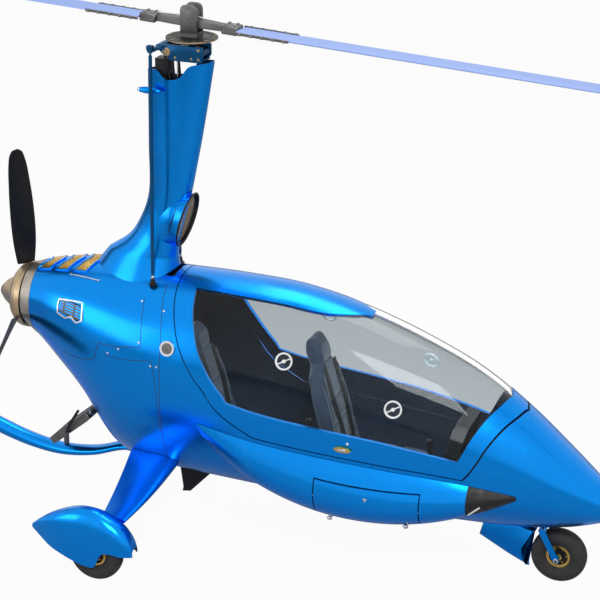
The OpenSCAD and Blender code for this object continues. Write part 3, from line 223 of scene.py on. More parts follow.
def clear(name):
    """Clear canopy plastic, which lets the light through as a pale tint instead of a dark shadow."""
    m = Mat(name, base_color=(0.90, 0.95, 0.97), transmission_weight=1.0, roughness=0.0)
    m.set("IOR", 1.1).set("Coat Weight", 0.18)
    m.rough(m.noise(2.2, 5), 0.0, 0.015)
    m.bump(m.noise(0.9, 2), 0.02, 0.004)
    path, shader = add_node(m.t, "LightPath"), add_node(m.t, "MixShader")
    see = add_node(m.t, "BsdfTransparent", Color=(0.86, 0.92, 0.95, 1))
    join(m.t, (path.outputs["Is Shadow Ray"], shader.inputs["Fac"]), (m.p.outputs["BSDF"], shader.inputs[1]),
         (see.outputs["BSDF"], shader.inputs[2]),
         (shader.outputs["Shader"], m.t.nodes["Material Output"].inputs["Surface"]))
    return m.m


# Each finish by its short name: the record's material slot, and the material itself
FINISH = {
    "blue": ("body_paint", paint("metallic_blue", (0.0002, 0.25, 0.80), 0.95, 0.24, 0.1)),
    "frame_blue": ("frame_paint", paint("head_blue", (0.001, 0.075, 0.20), 0.8, 0.34)),
    "blade": ("blade_paint", paint("blade_periwinkle", (0.25, 0.36, 0.70), 0.1, 0.55, 0.0)),
    "lining": ("cabin_board", plastic("dark_lining", (0.006, 0.013, 0.026), 0.8, 300, 0.15)),
    "black": ("black_plastic", plastic("satin_black", (0.009, 0.009, 0.010), 0.45, 700, 0.3)),
    # Near-black rubber for the canopy seal and panel joints; the same finish is painted shade on the dark
    # sheets laid in openings
    "seal": ("black_plastic", plastic("rubber_seal_and_painted_shade", (0.008, 0.009, 0.012), 0.7)),
    "carbon": ("carbon", plastic("black_composite", (0.006, 0.006, 0.007), 0.42, 500, 0.2)),
    "bronze": ("bronze", metal("bronze_anodised", (0.50, 0.38, 0.24), 0.34)),
    "ring": ("grey_metal", metal("brushed_ring", (0.46, 0.42, 0.37), 0.36, (1, 8, 8))),
    "gold": ("gold", metal("gold_anodised", (0.72, 0.46, 0.12), 0.28)),
    "grey": ("grey_metal", metal("grey_anodised", (0.17, 0.165, 0.165), 0.45)),
    "steel": ("steel", metal("bright_steel", (0.62, 0.62, 0.64), 0.22, (1, 1, 12))),
    "cast": ("engine_metal", metal("cast_metal", (0.24, 0.24, 0.25), 0.55, scale=160)),
    "tyre": ("tyre", rubber()),
    "cloth": ("upholstery", fabric("seat_cloth", (0.010, 0.026, 0.055))),
    "glass": ("clear_canopy", clear("clear_canopy")),
    "white": ("black_plastic", plastic("white_ring", (0.80, 0.82, 0.84), 0.4)),
}


# ---- Mesh helpers ----
def add_piece(name, verts, faces, mats, body="root", index=None, sharp=38, replaces=()):
    """A mesh piece in millimetres that rides on a body, with its materials in the order given."""
    me = bpy.data.meshes.new(name)
    points = [tuple(v) for v in np.asarray(verts, float) * MM]
    me.from_pydata(points, [], [tuple(int(i) for i in f) for f in faces])
    me.validate()
    mats = [mats] if isinstance(mats, str) else mats
    for k in mats:
        me.materials.append(FINISH[k][1])
    if index is not None and len(index) == len(me.polygons):
        me.polygons.foreach_set("material_index", np.asarray(index, np.int32))
    me.update()
    me.shade_smooth()
    me.set_sharp_from_angle(angle=math.radians(sharp))
    ob = bpy.data.objects.new(name, me)
    bpy.context.scene.collection.objects.link(ob)
    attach(ob, body)
    if replaces:
        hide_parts(*replaces)
    return ob


def both(bits, name, mats, body="root", replaces=()):
    """A starboard piece and its mirror image. The body's name may hold {} for the side."""
    bits.make(name + "_right", mats, body.format("right"), replaces=replaces)
    bits.make(name + "_left", mats, body.format("left"), flip=True)


def mirrored(v, f):
    """Points and faces mirrored across the middle plane, with the faces still outward."""
    return v * np.array([1, -1, 1]), [g[::-1] for g in f]


def ring_faces(k, n, loop=False):
    """Quads between k rings of n points, with both ends closed unless the rings run in a loop."""
    f = []
    for i in range(k if loop else k - 1):
        a, b = i * n, (i + 1) % k * n
        f += [(a + j, a + (j + 1) % n, b + (j + 1) % n, b + j) for j in range(n)]
    if not loop:
        f += [tuple(range(n - 1, -1, -1)), tuple((k - 1) * n + j for j in range(n))]
    return f


def sheet_mesh(outer, inner, keep=None, ring=False, capped=False):
    """Vertices, quads and their side (0 outside, 1 inside, 2 edge) for a closed panel between two grids."""
    ni, nj = outer.shape[:2]
    ci, cj = ni - 1, nj if ring else nj - 1
    keep = np.ones((ci, cj), bool) if keep is None else keep
    n = ni * nj
    at = lambda i, j: i * nj + j % nj
    faces, side = [], []
    pad = np.zeros((ci + 2, cj + 2), bool)
    pad[1:-1, 1:-1] = keep
    if ring:
        pad[1:-1, 0], pad[1:-1, -1] = keep[:, -1], keep[:, 0]
    for i in range(ci):
        for j in range(cj):
            if not keep[i, j]:
                continue
            a, b, c, d = at(i, j), at(i, j + 1), at(i + 1, j + 1), at(i + 1, j)
            faces += [(a, b, c, d), (n + a, n + d, n + c, n + b)]
            side += [0, 1]
            for di, dj, p, q in ((-1, 0, b, a), (1, 0, d, c), (0, -1, a, d), (0, 1, c, b)):
                if not pad[i + 1 + di, j + 1 + dj] and not (capped and di > 0 and i == ci - 1):
                    faces.append((p, q, n + q, n + p))
                    side.append(2)
    if capped:
        faces += [tuple(at(ci, j) for j in range(nj)), tuple(n + at(ci, j) for j in range(nj - 1, -1, -1))]
        side += [0, 1]
    verts = np.concatenate([outer.reshape(-1, 3), inner.reshape(-1, 3)])
    used = np.zeros(2 * n, bool)
    for f in faces:
        used[list(f)] = True
    new = np.cumsum(used) - 1
    return verts[used], [tuple(new[i] for i in f) for f in faces], side


def panel(name, outer, inner, mats="blue", keep=None, ring=False, capped=False, body="root", flip=False, **kw):
    """A closed sheet between two grids. Its outside and edges take the first material, its inside the last."""
    v, f, s = sheet_mesh(outer, inner, keep, ring, capped)
    if flip:
        v, f = mirrored(v, f)
    mats = [mats] if isinstance(mats, str) else mats
    index = [min(k, len(mats) - 1) if k != 2 else 0 for k in s]
    return add_piece(name, v, f, mats, body, index, **kw)


def loft(name, rings, mats="blue", body="root", flip=False, **kw):
    """A closed solid through rings of equal length."""
    r = np.asarray(rings, float)
    v, f = r.reshape(-1, 3), ring_faces(*r.shape[:2])
    if flip:
        v, f = mirrored(v, f)
    return add_piece(name, v, f, mats, body, **kw)


def placer(at, u, v, w):
    """Turns a point in local (u, v, w) into a place in the frame."""
    return lambda p: at + u * p[0] + v * p[1] + w * p[2]


def turns(count, r=1.0):
    """Points evenly round a circle, as (r cos, r sin)."""
    return [(r * math.cos(a), r * math.sin(a)) for a in (2 * math.pi * k / count for k in range(count))]


def basis(axis):
    w = np.asarray(axis, float)
    w = w / np.linalg.norm(w)
    u = np.cross((0, 0, 1) if abs(w[2]) < 0.9 else (1, 0, 0), w)
    u = u / np.linalg.norm(u)
    return u, np.cross(w, u), w


class Bits:
    """Gathers small closed solids into one piece, in millimetres."""

    def __init__(self):
        self.v, self.f, self.m, self.n = [], [], [], 0

    def add(self, v, f, m=0):
        v = np.asarray(v, float)
        self.v.append(v)
        self.f += [tuple(int(i) + self.n for i in g) for g in f]
        self.m += [m] * len(f)
        self.n += len(v)

    def hull(self, pts, m=0):
        bm = bmesh.new()
        for p in pts:
            bm.verts.new(tuple(float(c) for c in p))
        got = bmesh.ops.convex_hull(bm, input=bm.verts)
        inside = [v for v in got["geom_interior"] if isinstance(v, bmesh.types.BMVert)]
        bmesh.ops.delete(bm, geom=inside, context="VERTS")
        bmesh.ops.dissolve_limit(bm, angle_limit=0.01, verts=bm.verts, edges=bm.edges)
        bm.verts.index_update()
        self.add([v.co[:] for v in bm.verts], [[v.index for v in f.verts] for f in bm.faces], m)
        bm.free()

    def box(self, lo, hi, bevel=1.5, m=0, place=None):
        lo, hi = np.asarray(lo, float), np.asarray(hi, float)
        mid, half = (lo + hi) / 2, (hi - lo) / 2
        b = min(bevel, 0.45 * half.min())
        pts = []
        for s in np.array(np.meshgrid([-1, 1], [-1, 1], [-1, 1])).T.reshape(-1, 3):
            for k in range(3):
                h = half - b
                h[k] = half[k]
                pts.append(mid + s * h)
        self.hull([place(p) for p in pts] if place else pts, m)

    def rings(self, r, m=0, loop=False):
        r = np.asarray(r, float)
        self.add(r.reshape(-1, 3), ring_faces(*r.shape[:2], loop), m)

    def lathe(self, prof, at, axis, m=0, n=40, loop=False):
        u, v, w = basis(axis)
        t = np.arange(n) * 2 * math.pi / n
        at = np.asarray(at, float)
        self.rings([at + np.outer(np.cos(t) * max(r, 0.05), u) + np.outer(np.sin(t) * max(r, 0.05), v) + h * w
                    for r, h in prof], m, loop)

    def tube(self, pts, r, m=0, n=12, loop=False):
        p = np.asarray(pts, float)
        k = len(p)
        t = np.roll(p, -1, 0) - np.roll(p, 1, 0) if loop else np.gradient(p, axis=0)
        t /= np.linalg.norm(t, axis=1)[:, None]
        u = basis(t[0])[0]
        a = np.arange(n) * 2 * math.pi / n
        out = []
        for i in range(k):
            u = u - np.dot(u, t[i]) * t[i]
            u /= np.linalg.norm(u)
            out.append(p[i] + r * (np.outer(np.cos(a), u) + np.outer(np.sin(a), np.cross(t[i], u))))
        self.rings(out, m, loop)

    def bolt(self, at, axis, r=7, h=5, m=0):
        u, v, w = basis(axis)
        at = np.asarray(at, float)
        self.lathe([(r * 1.35, 0), (r * 1.35, 1.2), (r, 1.2)], at, axis, m, 20)
        t = np.arange(6) * math.pi / 3
        for lo, hi, k0, k1 in ((1.0, 1 + h * 0.75, 1, 1), (1 + h * 0.75, 1 + h, 1, 0.85)):
            self.rings([at + r * k * (np.outer(np.cos(t), u) + np.outer(np.sin(t), v)) + z * w
                        for z, k in ((lo, k0), (hi, k1))], m)

    def slab(self, outline, place, thick, m=0, edge=1.5):
        """A plate with softened edges, from an outline in (u, v) and a function that places (u, v, h)."""
        o = np.asarray(outline, float)
        d0, d1 = o - np.roll(o, 1, 0), np.roll(o, -1, 0) - o
        n = np.stack([d0[:, 1], -d0[:, 0]], -1) / np.linalg.norm(d0, axis=1)[:, None]
        n += np.stack([d1[:, 1], -d1[:, 0]], -1) / np.linalg.norm(d1, axis=1)[:, None]
        n /= np.linalg.norm(n, axis=1)[:, None]
        if np.sum(o[:, 0] * np.roll(o[:, 1], -1) - o[:, 1] * np.roll(o[:, 0], -1)) < 0:
            n = -n
        steps = [(edge, 0), (edge * 0.3, edge * 0.3), (0, edge), (0, thick - edge),
                 (edge * 0.3, thick - edge * 0.3), (edge, thick)]
        self.rings([[place(*(q - k * e), h) for q, e in zip(o, n)] for k, h in steps], m)

    def make(self, name, mats, body="root", flip=False, **kw):
        v, f = np.concatenate(self.v), self.f
        if flip:
            v, f = mirrored(v, f)
        ob = add_piece(name, v, f, mats, body, np.array(self.m), **kw)
        bm = bmesh.new()
        bm.from_mesh(ob.data)
        bmesh.ops.recalc_face_normals(bm, faces=bm.faces)
        bm.to_mesh(ob.data)
        bm.free()
        return ob


# ---- The same surfaces as the CAD ----
def smooth(t, x, c):
    """Column c of a table against its first column, as a smooth curve through the rows."""
    t = np.asarray(t, float)
    xs, ys = t[:, 0], t[:, c]
    d = np.diff(ys) / np.diff(xs)
    m = np.concatenate([[d[0]], (d[:-1] + d[1:]) / 2, [d[-1]]])
    x = np.asarray(x, float)
    i = np.clip(np.searchsorted(xs, x, side="right") - 1, 0, len(xs) - 2)
    h = xs[i + 1] - xs[i]
    u = np.clip((x - xs[i]) / h, 0, 1)
    return ((2 * u**3 - 3 * u**2 + 1) * ys[i] + (u**3 - 2 * u**2 + u) * m[i] * h
            + (3 * u**2 - 2 * u**3) * ys[i + 1] + (u**3 - u**2) * m[i + 1] * h)


def mix(a, b, t):
    return a + (b - a) * t


def spow(v, e):
    return np.sign(v) * np.abs(v) ** e


def sind(a):
    return np.sin(np.radians(a))


def cosd(a):
    return np.cos(np.radians(a))


HALF = 395
# Station x, width as a share of HALF, then the heights of the widest line, top and bottom, and the roundness
# above and below (2 is an ellipse)
BODY = [
    [-985, 0.46, 1170, 1354, 998, 2.0, 2.0], [-900, 0.52, 1168, 1382, 928, 2.0, 2.0],
    [-780, 0.63, 1145, 1408, 808, 2.0, 2.0], [-620, 0.75, 1095, 1436, 628, 2.0, 2.0],
    [-450, 0.85, 1035, 1452, 380, 2.0, 2.1], [-300, 0.92, 985, 1454, 322, 2.0, 2.3],
    [-80, 0.97, 950, 1457, 304, 2.0, 2.4], [250, 1.00, 920, 1462, 295, 2.0, 2.4],
    [600, 1.00, 880, 1448, 290, 2.0, 2.4], [950, 0.97, 835, 1378, 288, 2.0, 2.4],
    [1300, 0.90, 780, 1262, 288, 2.0, 2.3], [1600, 0.80, 715, 1128, 292, 2.0, 2.2],
    [1870, 0.65, 640, 948, 304, 2.0, 2.1], [2120, 0.46, 565, 742, 340, 2.0, 2.0],
    [2320, 0.24, 500, 575, 405, 2.0, 2.0], [2440, 0.06, 470, 489, 451, 2.0, 2.0],
]
SHOULDER = [
    [-985, 1170], [-600, 1040], [-200, 850], [200, 760], [500, 712], [850, 688],
    [1200, 669], [1600, 644], [1870, 600], [2120, 545], [2440, 470],
]


def section(x, inset=0):
    """Half width, middle height, rise, drop and the two roundnesses of the body at x."""
    mid = smooth(BODY, x, 2)
    return (np.maximum(1, smooth(BODY, x, 1) * HALF - inset), mid,
            np.maximum(1, smooth(BODY, x, 3) - mid - inset), np.maximum(1, mid - smooth(BODY, x, 4) - inset),
            smooth(BODY, x, 5), smooth(BODY, x, 6))


def body(x, a, inset=0):
    """The point on the body at x and at an angle round it: 0 is starboard, 90 is the top."""
    w, mid, up, dn, nu, nd = section(x, inset)
    s, c = sind(a), cosd(a)
    n, r = np.where(s >= 0, nu, nd), np.where(s >= 0, up, dn)
    p = np.broadcast_arrays(np.asarray(x, float), -w * spow(c, 2 / n), mid + r * spow(s, 2 / n))
    return np.stack(p, -1)


def angle_at(x, z):
    _, mid, up, dn, nu, nd = section(x)
    rel = z - mid
    n, r = np.where(rel >= 0, nu, nd), np.where(rel >= 0, up, dn)
    return np.degrees(np.arcsin(np.clip(spow(rel / r, n / 2), -1, 1)))


def deck_z(x, y, inset=0):
    w, mid, up = section(x, inset)[:3]
    return mid + up * np.sqrt(np.maximum(0, 1 - (np.abs(y) / w) ** 2))


EDGE = [[0.00, 480, 1610], [0.06, 300, 1645], [0.14, 190, 1675], [0.30, 72, 1720],
        [0.50, 2, 1775], [0.75, -38, 1835], [1.00, -42, 1868]]
STRIP = [[0.00, 0.115], [0.30, 0.115], [0.44, 0.100], [0.51, 0.060], [0.54, 0.030], [1.00, 0.100]]
GAP, SKIN, DEPTH = 6, 12, 20
SILL_ROWS, SIDE_ROWS, STRIP_ROWS, LOWER_ROWS = 1, 8, 6, 20
UPPER = 2 * SILL_ROWS + 2 * SIDE_ROWS + STRIP_ROWS
DECK, CANOPY, NOSE, COWL = 4, 20, 8, 9
REAR_BAND, FRONT_BAND, SILL_SHARE, FRONT_GAP = 105, 80, 0.055, 1.9
SLOT_X, SPLIT, HATCH_REAR, HATCH_FRONT, NOSE_X, TAIL_X = -260, -80, 1880, 2190, 2440, -985


def share_up(v):
    return 1 - np.abs(2 * v - 1)


def row_share(j, u):
    """Share of the way over, at rows that may lie between whole rows."""
    edge = 0.5 - float(smooth(STRIP, u, 1))
    first = SILL_ROWS + SIDE_ROWS
    return np.interp(j, [0, SILL_ROWS, first, first + STRIP_ROWS, UPPER - SILL_ROWS, UPPER],
                     [0, SILL_SHARE, edge, 1 - edge, 1 - SILL_SHARE, 1])


def canopy_x(i, v, gap):
    r = smooth(EDGE, share_up(v), 1) + gap
    f = smooth(EDGE, share_up(v), 2) - gap * mix(1, FRONT_GAP, share_up(v))
    xs = [r, r + REAR_BAND, f - FRONT_BAND, f]
    knots = [0, 1, CANOPY - 1, CANOPY]
    k = int(np.clip(np.searchsorted(knots, i, side="right") - 1, 0, 2))
    return mix(xs[k], xs[k + 1], (i - knots[k]) / (knots[k + 1] - knots[k]))


def nose_x(k, front):
    start = np.maximum(front + 25, HATCH_REAR)
    cols = [front, mix(front, np.maximum(front, HATCH_REAR), 0.5), start]
    cols += [mix(start, HATCH_FRONT, t / 3) for t in (1, 2, 3)]
    cols += [mix(HATCH_FRONT, NOSE_X, (t / 3) ** 0.8) for t in (1, 2, 3)]
    i = min(int(k), NOSE - 1)
    return mix(cols[i], cols[i + 1], k - i)


def sill_angle(x, gap=0):
    return angle_at(x, smooth(SHOULDER, x, 1) + gap)


def upper_point(x, v, gap, inset):
    a = sill_angle(x, gap)
    return body(x, mix(a, 180 - a, v), inset)


def lower_point(x, w, inset):
    a = sill_angle(x, 0)
    return body(x, mix(180 - a, 360 + a, w), inset)


FINE = 4
rows_up = np.arange(0, UPPER + 1e-6, 1 / FINE)
rows_low = np.arange(1 / FINE, LOWER_ROWS - 1e-6, 1 / FINE) / LOWER_ROWS


def hull_grid(inset):
    """The whole skin from the tail ring to the nose, as columns of points round the body."""
    aft = [mix(TAIL_X, SLOT_X, i / (COWL - 1)) for i in np.arange(0, COWL - 1 + 1e-6, 1 / FINE)]
    aft += [mix(SLOT_X, SPLIT, i) for i in np.arange(1 / FINE, 1 + 1e-6, 1 / FINE)]
    cols = [(0.0, lambda v, x=x: x + 0 * v) for x in aft]
    for i in np.arange(1 / FINE, DECK + CANOPY + NOSE + 1e-6, 1 / FINE):
        c = i - DECK
        u = float(np.clip(c / CANOPY, 0, 1))
        if i <= DECK:
            fx = lambda v, i=i: mix(SPLIT, smooth(EDGE, share_up(v), 1), i / DECK)
        elif c <= CANOPY:
            fx = lambda v, c=c: canopy_x(c, v, 0)
        else:
            fx = lambda v, c=c: nose_x(c - CANOPY, smooth(EDGE, share_up(v), 2))
        cols.append((u, fx))
    grid = []
    for u, fx in cols:
        v = row_share(rows_up, u)
        x0 = fx(np.asarray(0.0))
        low = lower_point(x0 + 0 * rows_low, rows_low, inset)
        grid.append(np.concatenate([upper_point(fx(v), v, 0, inset), low]))
    return np.array(grid)


def canopy_grid(gap, inset):
    grid = []
    for i in np.arange(0, CANOPY + 1e-6, 1 / FINE):
        v = row_share(rows_up, i / CANOPY)
        grid.append(upper_point(canopy_x(i, v, gap), v, gap, inset))
    return np.array(grid)


def is_window(i, j):
    strip = (i < 11) & (j >= SILL_ROWS + SIDE_ROWS) & (j < SILL_ROWS + SIDE_ROWS + STRIP_ROWS)
    return (i >= 1) & (i < CANOPY - 1) & (j >= SILL_ROWS) & (j < UPPER - SILL_ROWS) & ~strip


def build_hull():
    outer, inner = hull_grid(0), hull_grid(SKIN)
    ni, nj = outer.shape[:2]
    i, j = np.indices((ni - 1, nj)) // FINE
    i = i - COWL - DECK
    opened = (i >= 0) & (i < CANOPY) & (j < UPPER)
    mid = UPPER + LOWER_ROWS // 2
    hatch = (i >= CANOPY + 2) & (i < CANOPY + 5) & (j >= mid - 3) & (j < mid + 3)
    first = SILL_ROWS + SIDE_ROWS + 1
    slot = (i == -DECK - 1) & (j >= first) & (j < first + STRIP_ROWS - 2)
    panel("hull", outer, inner, ["blue", "lining"], ~(opened | hatch | slot), ring=True, capped=True,
          replaces=("fuselage", "engine_cowl"))


def build_canopy():
    g0, g1 = canopy_grid(GAP, 0), canopy_grid(GAP, DEPTH)
    win = is_window(*np.indices((g0.shape[0] - 1, g0.shape[1] - 1)) // FINE)
    panel("canopy_shell", g0, g1, ["blue", "lining"], ~win, body="canopy", replaces=("canopy_frame",))
    panel("canopy_pane", canopy_grid(GAP, 2), canopy_grid(GAP, 6), "glass", win, body="canopy",
          replaces=("canopy_glass",), sharp=60)


build_hull()
build_canopy()
# Height, then the rear and front of the mast there, and its half width
MAST = [
    [1530, -505, -104, 112], [1620, -386, -92, 88], [1740, -310, -62, 76], [1870, -266, -24, 72],
    [2150, -258, 42, 72], [2580, -252, 125, 74],
]
MAST_BASE = (-575, -100, 165)


def mast_outline(rear, front, half, a, inset):
    return (mix(rear, front, 0.5) - ((front - rear) / 2 - inset) * cosd(a),
            (half - inset) * spow(sind(a), 1.1) * (1 - 0.18 * cosd(a)))


def mast_top(x):
    return mix(2540, 2615, (x + 252) / 377) - 62 * np.exp(-(((x + 85) / 75) ** 4))


def mast_grid(inset, steps=60, sides=96):
    a = np.arange(sides) * 360 / sides
    x, y = mast_outline(*MAST_BASE, a, inset)
    grid = [np.stack([x, y, deck_z(x, y, -0.5)], -1)]
    first, top = MAST[0][0], MAST[-1][0]
    for k in range(steps):
        z = mix(first, top, (k / (steps - 1)) ** 1.5)
        x, y = mast_outline(smooth(MAST, z, 1), smooth(MAST, z, 2), smooth(MAST, z, 3), a, inset)
        grid.append(np.stack([x, y, first + (mast_top(x) - first) * (z - first) / (top - first)], -1))
    low, up = grid[0], grid[1]
    d = grid[2] - grid[1]
    fill = [(2 * t**3 - 3 * t**2 + 1) * low + (3 * t**2 - 2 * t**3) * up + (t**3 - t**2) * d * 4
            for t in (0.2, 0.4, 0.6, 0.8)]
    return np.array([low] + fill + grid[1:])


panel("mast_shell", mast_grid(0), mast_grid(5), ["blue", "lining"], ring=True, replaces=("mast_fairing",))


# The intake's mouth: where its middle is, its half height and width, and how far it leans back
MOUTH_X, MOUTH_Z, MOUTH_UP, MOUTH_SIDE = -43, 1735, 152, 116
MOUTH_LEAN = math.tan(math.radians(15.6))


def intake_grid(inset, sides=96, steps=12):
    a = np.arange(sides) * 360 / sides
    rise = (MOUTH_UP - inset) * sind(a)
    mouth = np.stack([MOUTH_X + rise * MOUTH_LEAN, (MOUTH_SIDE - inset) * cosd(a), MOUTH_Z + rise], -1)
    z = MOUTH_Z + MOUTH_UP * 0.94 * sind(a)
    b = 180 - 85 * np.abs(cosd(a))
    mast_here = [smooth(MAST, z, c) for c in (1, 2, 3)]
    ex, ey = mast_outline(*mast_here, b, -2.8 - (0 if inset else 3))
    end = np.stack([ex, ey * np.where(cosd(a) < 0, -1, 1), z], -1)
    return np.array([mix(mouth, end, k / steps) for k in range(steps + 1)])


panel("intake_shroud", intake_grid(0), intake_grid(8), ["blue", "black"], ring=True, replaces=("air_intake",))

# ---- Pods ----
POD_X = [[165, 0], [300, 0.22], [500, 0.56], [800, 0.90], [1050, 1.0], [1300, 0.93], [1550, 0.66],
         [1750, 0.32], [1880, 0.02]]
POD_Q = [[0, 0], [0.12, 0.42], [0.26, 0.84], [0.42, 1.0], [0.62, 0.86], [0.82, 0.40], [1, 0]]
POD_LOW = [[165, -16], [400, -44], [700, -64], [1050, -70], [1400, -60], [1640, -42], [1880, -14]]


def pod_point(x, q, depth):
    """The point on a pod at x and at a share q of the way down it, set in by depth."""
    bulge = 122 * smooth(POD_X, x, 1) * smooth(POD_Q, q, 1)
    a = mix(sill_angle(x, -22), smooth(POD_LOW, x, 1), q)
    return body(x, a, -np.maximum(2, bulge + 2.2 - depth))


def pod_grid(xs, q0, q1, rows, depth):
    q = mix(q0, q1, np.linspace(1, 0, rows + 1))
    return np.array([pod_point(x + 0 * q, q, depth) for x in xs])


POD_ROWS, POD_GIRTH, FINER = 14, 430, 5
LID_COLS, LID_ROWS = (7, 12), (6, 12)


def build_pods():
    f = FINER
    runs = ((165, 840, 7), (840, 1410, 5), (1410, 1640, 3))
    xs = np.concatenate([mix(a, b, np.arange(n * f) / (n * f)) for a, b, n in runs] + [[1640.0]])
    rows = POD_ROWS * f
    i, j = np.indices((len(xs) - 1, rows)) // f
    lid = (i >= LID_COLS[0]) & (i < LID_COLS[1]) & (j >= LID_ROWS[0]) & (j < LID_ROWS[1])
    top, low = POD_ROWS - LID_ROWS[1], POD_ROWS - LID_ROWS[0]
    q = (top / POD_ROWS + GAP / POD_GIRTH, low / POD_ROWS - GAP / POD_GIRTH)
    cap = np.linspace(1640.5, 1880, 17)
    lx = np.linspace(846, 1404, 26)
    for side, flip in (("right", False), ("left", True)):
        panel("pod_skin_" + side, pod_grid(xs, 0, 1, rows, 0), pod_grid(xs, 0, 1, rows, 5),
              ["blue", "lining"], ~lid, flip=flip, replaces=("pod_" + side,))
        lid_rows = (LID_ROWS[1] - LID_ROWS[0]) * f
        panel("lid_skin_" + side, pod_grid(lx, *q, lid_rows, 0), pod_grid(lx, *q, lid_rows, 5),
              ["blue", "lining"], body="lid_" + side, flip=flip, replaces=("pod_lid_" + side,))
        panel("pod_cap_" + side, pod_grid(cap, 0, 1, rows, 0), pod_grid(cap, 0, 1, rows, 5), "black",
              flip=flip, replaces=() if flip else ("pod_nose_caps",))


build_pods()

# ---- Wheel pants, legs, boom and tail ----
# Place along the wheel pant, width as a share, and the heights of its top and bottom
PANT = [
    [-375, 0.10, 246, 226], [-320, 0.38, 292, 196], [-250, 0.68, 338, 158], [-170, 0.90, 376, 132],
    [-90, 1.0, 400, 108], [-30, 1.0, 404, 96], [20, 1.0, 398, 104], [55, 0.98, 386, 176],
    [110, 0.93, 358, 190], [165, 0.82, 316, 182], [205, 0.62, 262, 180], [222, 0.44, 222, 178],
]
AXLE_X, NOSE_AXLE_X, TRACK_HALF, WHEEL_R = -200, 2070, 876, 148


def pant_ring(x, inset, n=40):
    top, low = smooth(PANT, x, 2) - inset, smooth(PANT, x, 3)
    half = max(1.5, smooth(PANT, x, 1) * 76 - inset)
    waist = mix(low, top, 0.42)
    span = max(3, top - waist)
    pts = [(x, -half * mix(0.97, 1, t), mix(low, waist, t)) for t in np.linspace(0, 1, 6)[:-1]]
    for a in np.linspace(0, 180, n):
        pts.append((x, -half * spow(cosd(a), 0.8), waist + span * spow(sind(a), 0.8)))
    pts += [(x, half * mix(0.97, 1, t), mix(low, waist, t)) for t in np.linspace(1, 0, 6)[1:]]
    return np.array(pts)


for side, sy in (("left", 1), ("right", -1)):
    shift = np.array([AXLE_X, sy * TRACK_HALF, 0])
    grids = [np.array([pant_ring(x, inset) for x in np.linspace(-375, 222, 90)]) + shift for inset in (0, 5)]
    panel("pant_skin_" + side, *grids, ["blue", "lining"], replaces=("wheel_pant_" + side,))


def foil(s, thick):
    """Half thickness of a symmetrical aerofoil at a share s of its chord."""
    return 5 * thick * (0.2969 * np.sqrt(s) - 0.126 * s - 0.3516 * s**2 + 0.2843 * s**3 - 0.1036 * s**4)


def foil_outline(chord, thick, steps=28):
    s = (1 - np.cos(np.pi * np.arange(steps + 1) / steps)) / 2
    up = np.stack([chord * s, chord * foil(s, thick)], -1)
    low = np.stack([chord * s[-2:0:-1], -chord * foil(s[-2:0:-1], thick)], -1)
    return np.concatenate([up, low])


def build_legs():
    p = foil_outline(290, 0.20)
    x = -150 + 145 - p[:, 0]
    root = body(x, -52 + p[:, 1] / 29 * 5.2, -2)
    q = foil_outline(140, 0.20)
    foot = np.stack([AXLE_X + 66 + 70 - q[:, 0], 0 * q[:, 0] - 804, 318 + q[:, 1]], -1)
    ts = np.linspace(1, 0, 25)
    rings = [mix(root, foot, t) - np.array([0, 0, 18 * math.sin(math.pi * t)]) for t in ts]
    loft("leg_right", rings, replaces=("gear_legs",))
    loft("leg_left", rings, flip=True)


build_legs()
BOOM = [
    [-2620, 690, 32, 40], [-2300, 662, 40, 48], [-1950, 566, 44, 50], [-1600, 424, 46, 50],
    [-1270, 303, 46, 46], [-1060, 246, 46, 40], [-860, 224, 46, 33], [-650, 252, 46, 27],
    [-430, 322, 44, 24], [-400, 318, 44, 24],
]


def boom_middle(x):
    mid, _, dn = section(x)[1:4]
    return np.minimum(smooth(BOOM, x, 1), mid - dn - smooth(BOOM, x, 3) - 0.5)


def build_boom():
    rings = []
    a = -np.arange(40) * 9.0
    for x in np.linspace(-2620, -330, 90):
        w, t, z = smooth(BOOM, x, 2), smooth(BOOM, x, 3), boom_middle(x)
        rings.append(np.stack([x + 0 * a, w * cosd(a), z + t * sind(a)], -1))
    loft("boom", rings, replaces=("tail_boom",))


build_boom()


def build_tail():
    def ring(x, y, z, chord, thick, upright=0):
        p = foil_outline(chord, thick)
        return np.stack([x - p[:, 0], y + p[:, 1] * upright, z + p[:, 1] * (1 - upright)], -1)

    tips = [ring(-2120, y, 770, 360, 0.10) for y in (-740, 740)]
    loft("stabiliser", [tips[0], ring(-2060, 0, 770, 470, 0.11), tips[1]], replaces=("tailplane",))
    table = [[480, 120, 250, 0.09], [710, 40, 400, 0.07], [890, 60, 390, 0.07], [1180, 190, 240, 0.08]]
    fin = [ring(-2060 - smooth(table, z, 1), -754.5, z, smooth(table, z, 2), smooth(table, z, 3), 1)
           for z in np.linspace(1180, 480, 30)]
    loft("end_fin_right", fin, replaces=("end_fins",))
    loft("end_fin_left", fin, flip=True)


build_tail()


# ---- Details that lie on the skin ----
def skin(x, a, out=0.0):
    """A point raised by out from the skin, and the outward normal there."""
    p = body(x, a)
    n = np.cross(body(x, a + 0.5) - p, body(x + 2, a) - p)
    n = n / np.linalg.norm(n)
    if np.dot(n, p - np.array([x, 0, smooth(BODY, x, 2)])) < 0:
        n = -n
    return p + n * out, n


def skin_path(pts, step=18, loop=False):
    """Points and normals along straight runs between (x, angle) corners."""
    pts = [np.array(q, float) for q in pts]
    if loop:
        pts.append(pts[0])
    out = []
    for a, b in zip(pts[:-1], pts[1:]):
        pa, pb = skin(*a)[0], skin(*b)[0]
        n = max(2, int(np.linalg.norm(pb - pa) / step) + 1)
        out += [skin(*mix(a, b, k / n)) for k in range(n)]
    if not loop:
        out.append(skin(*pts[-1]))
    return np.array([q[0] for q in out]), np.array([q[1] for q in out])


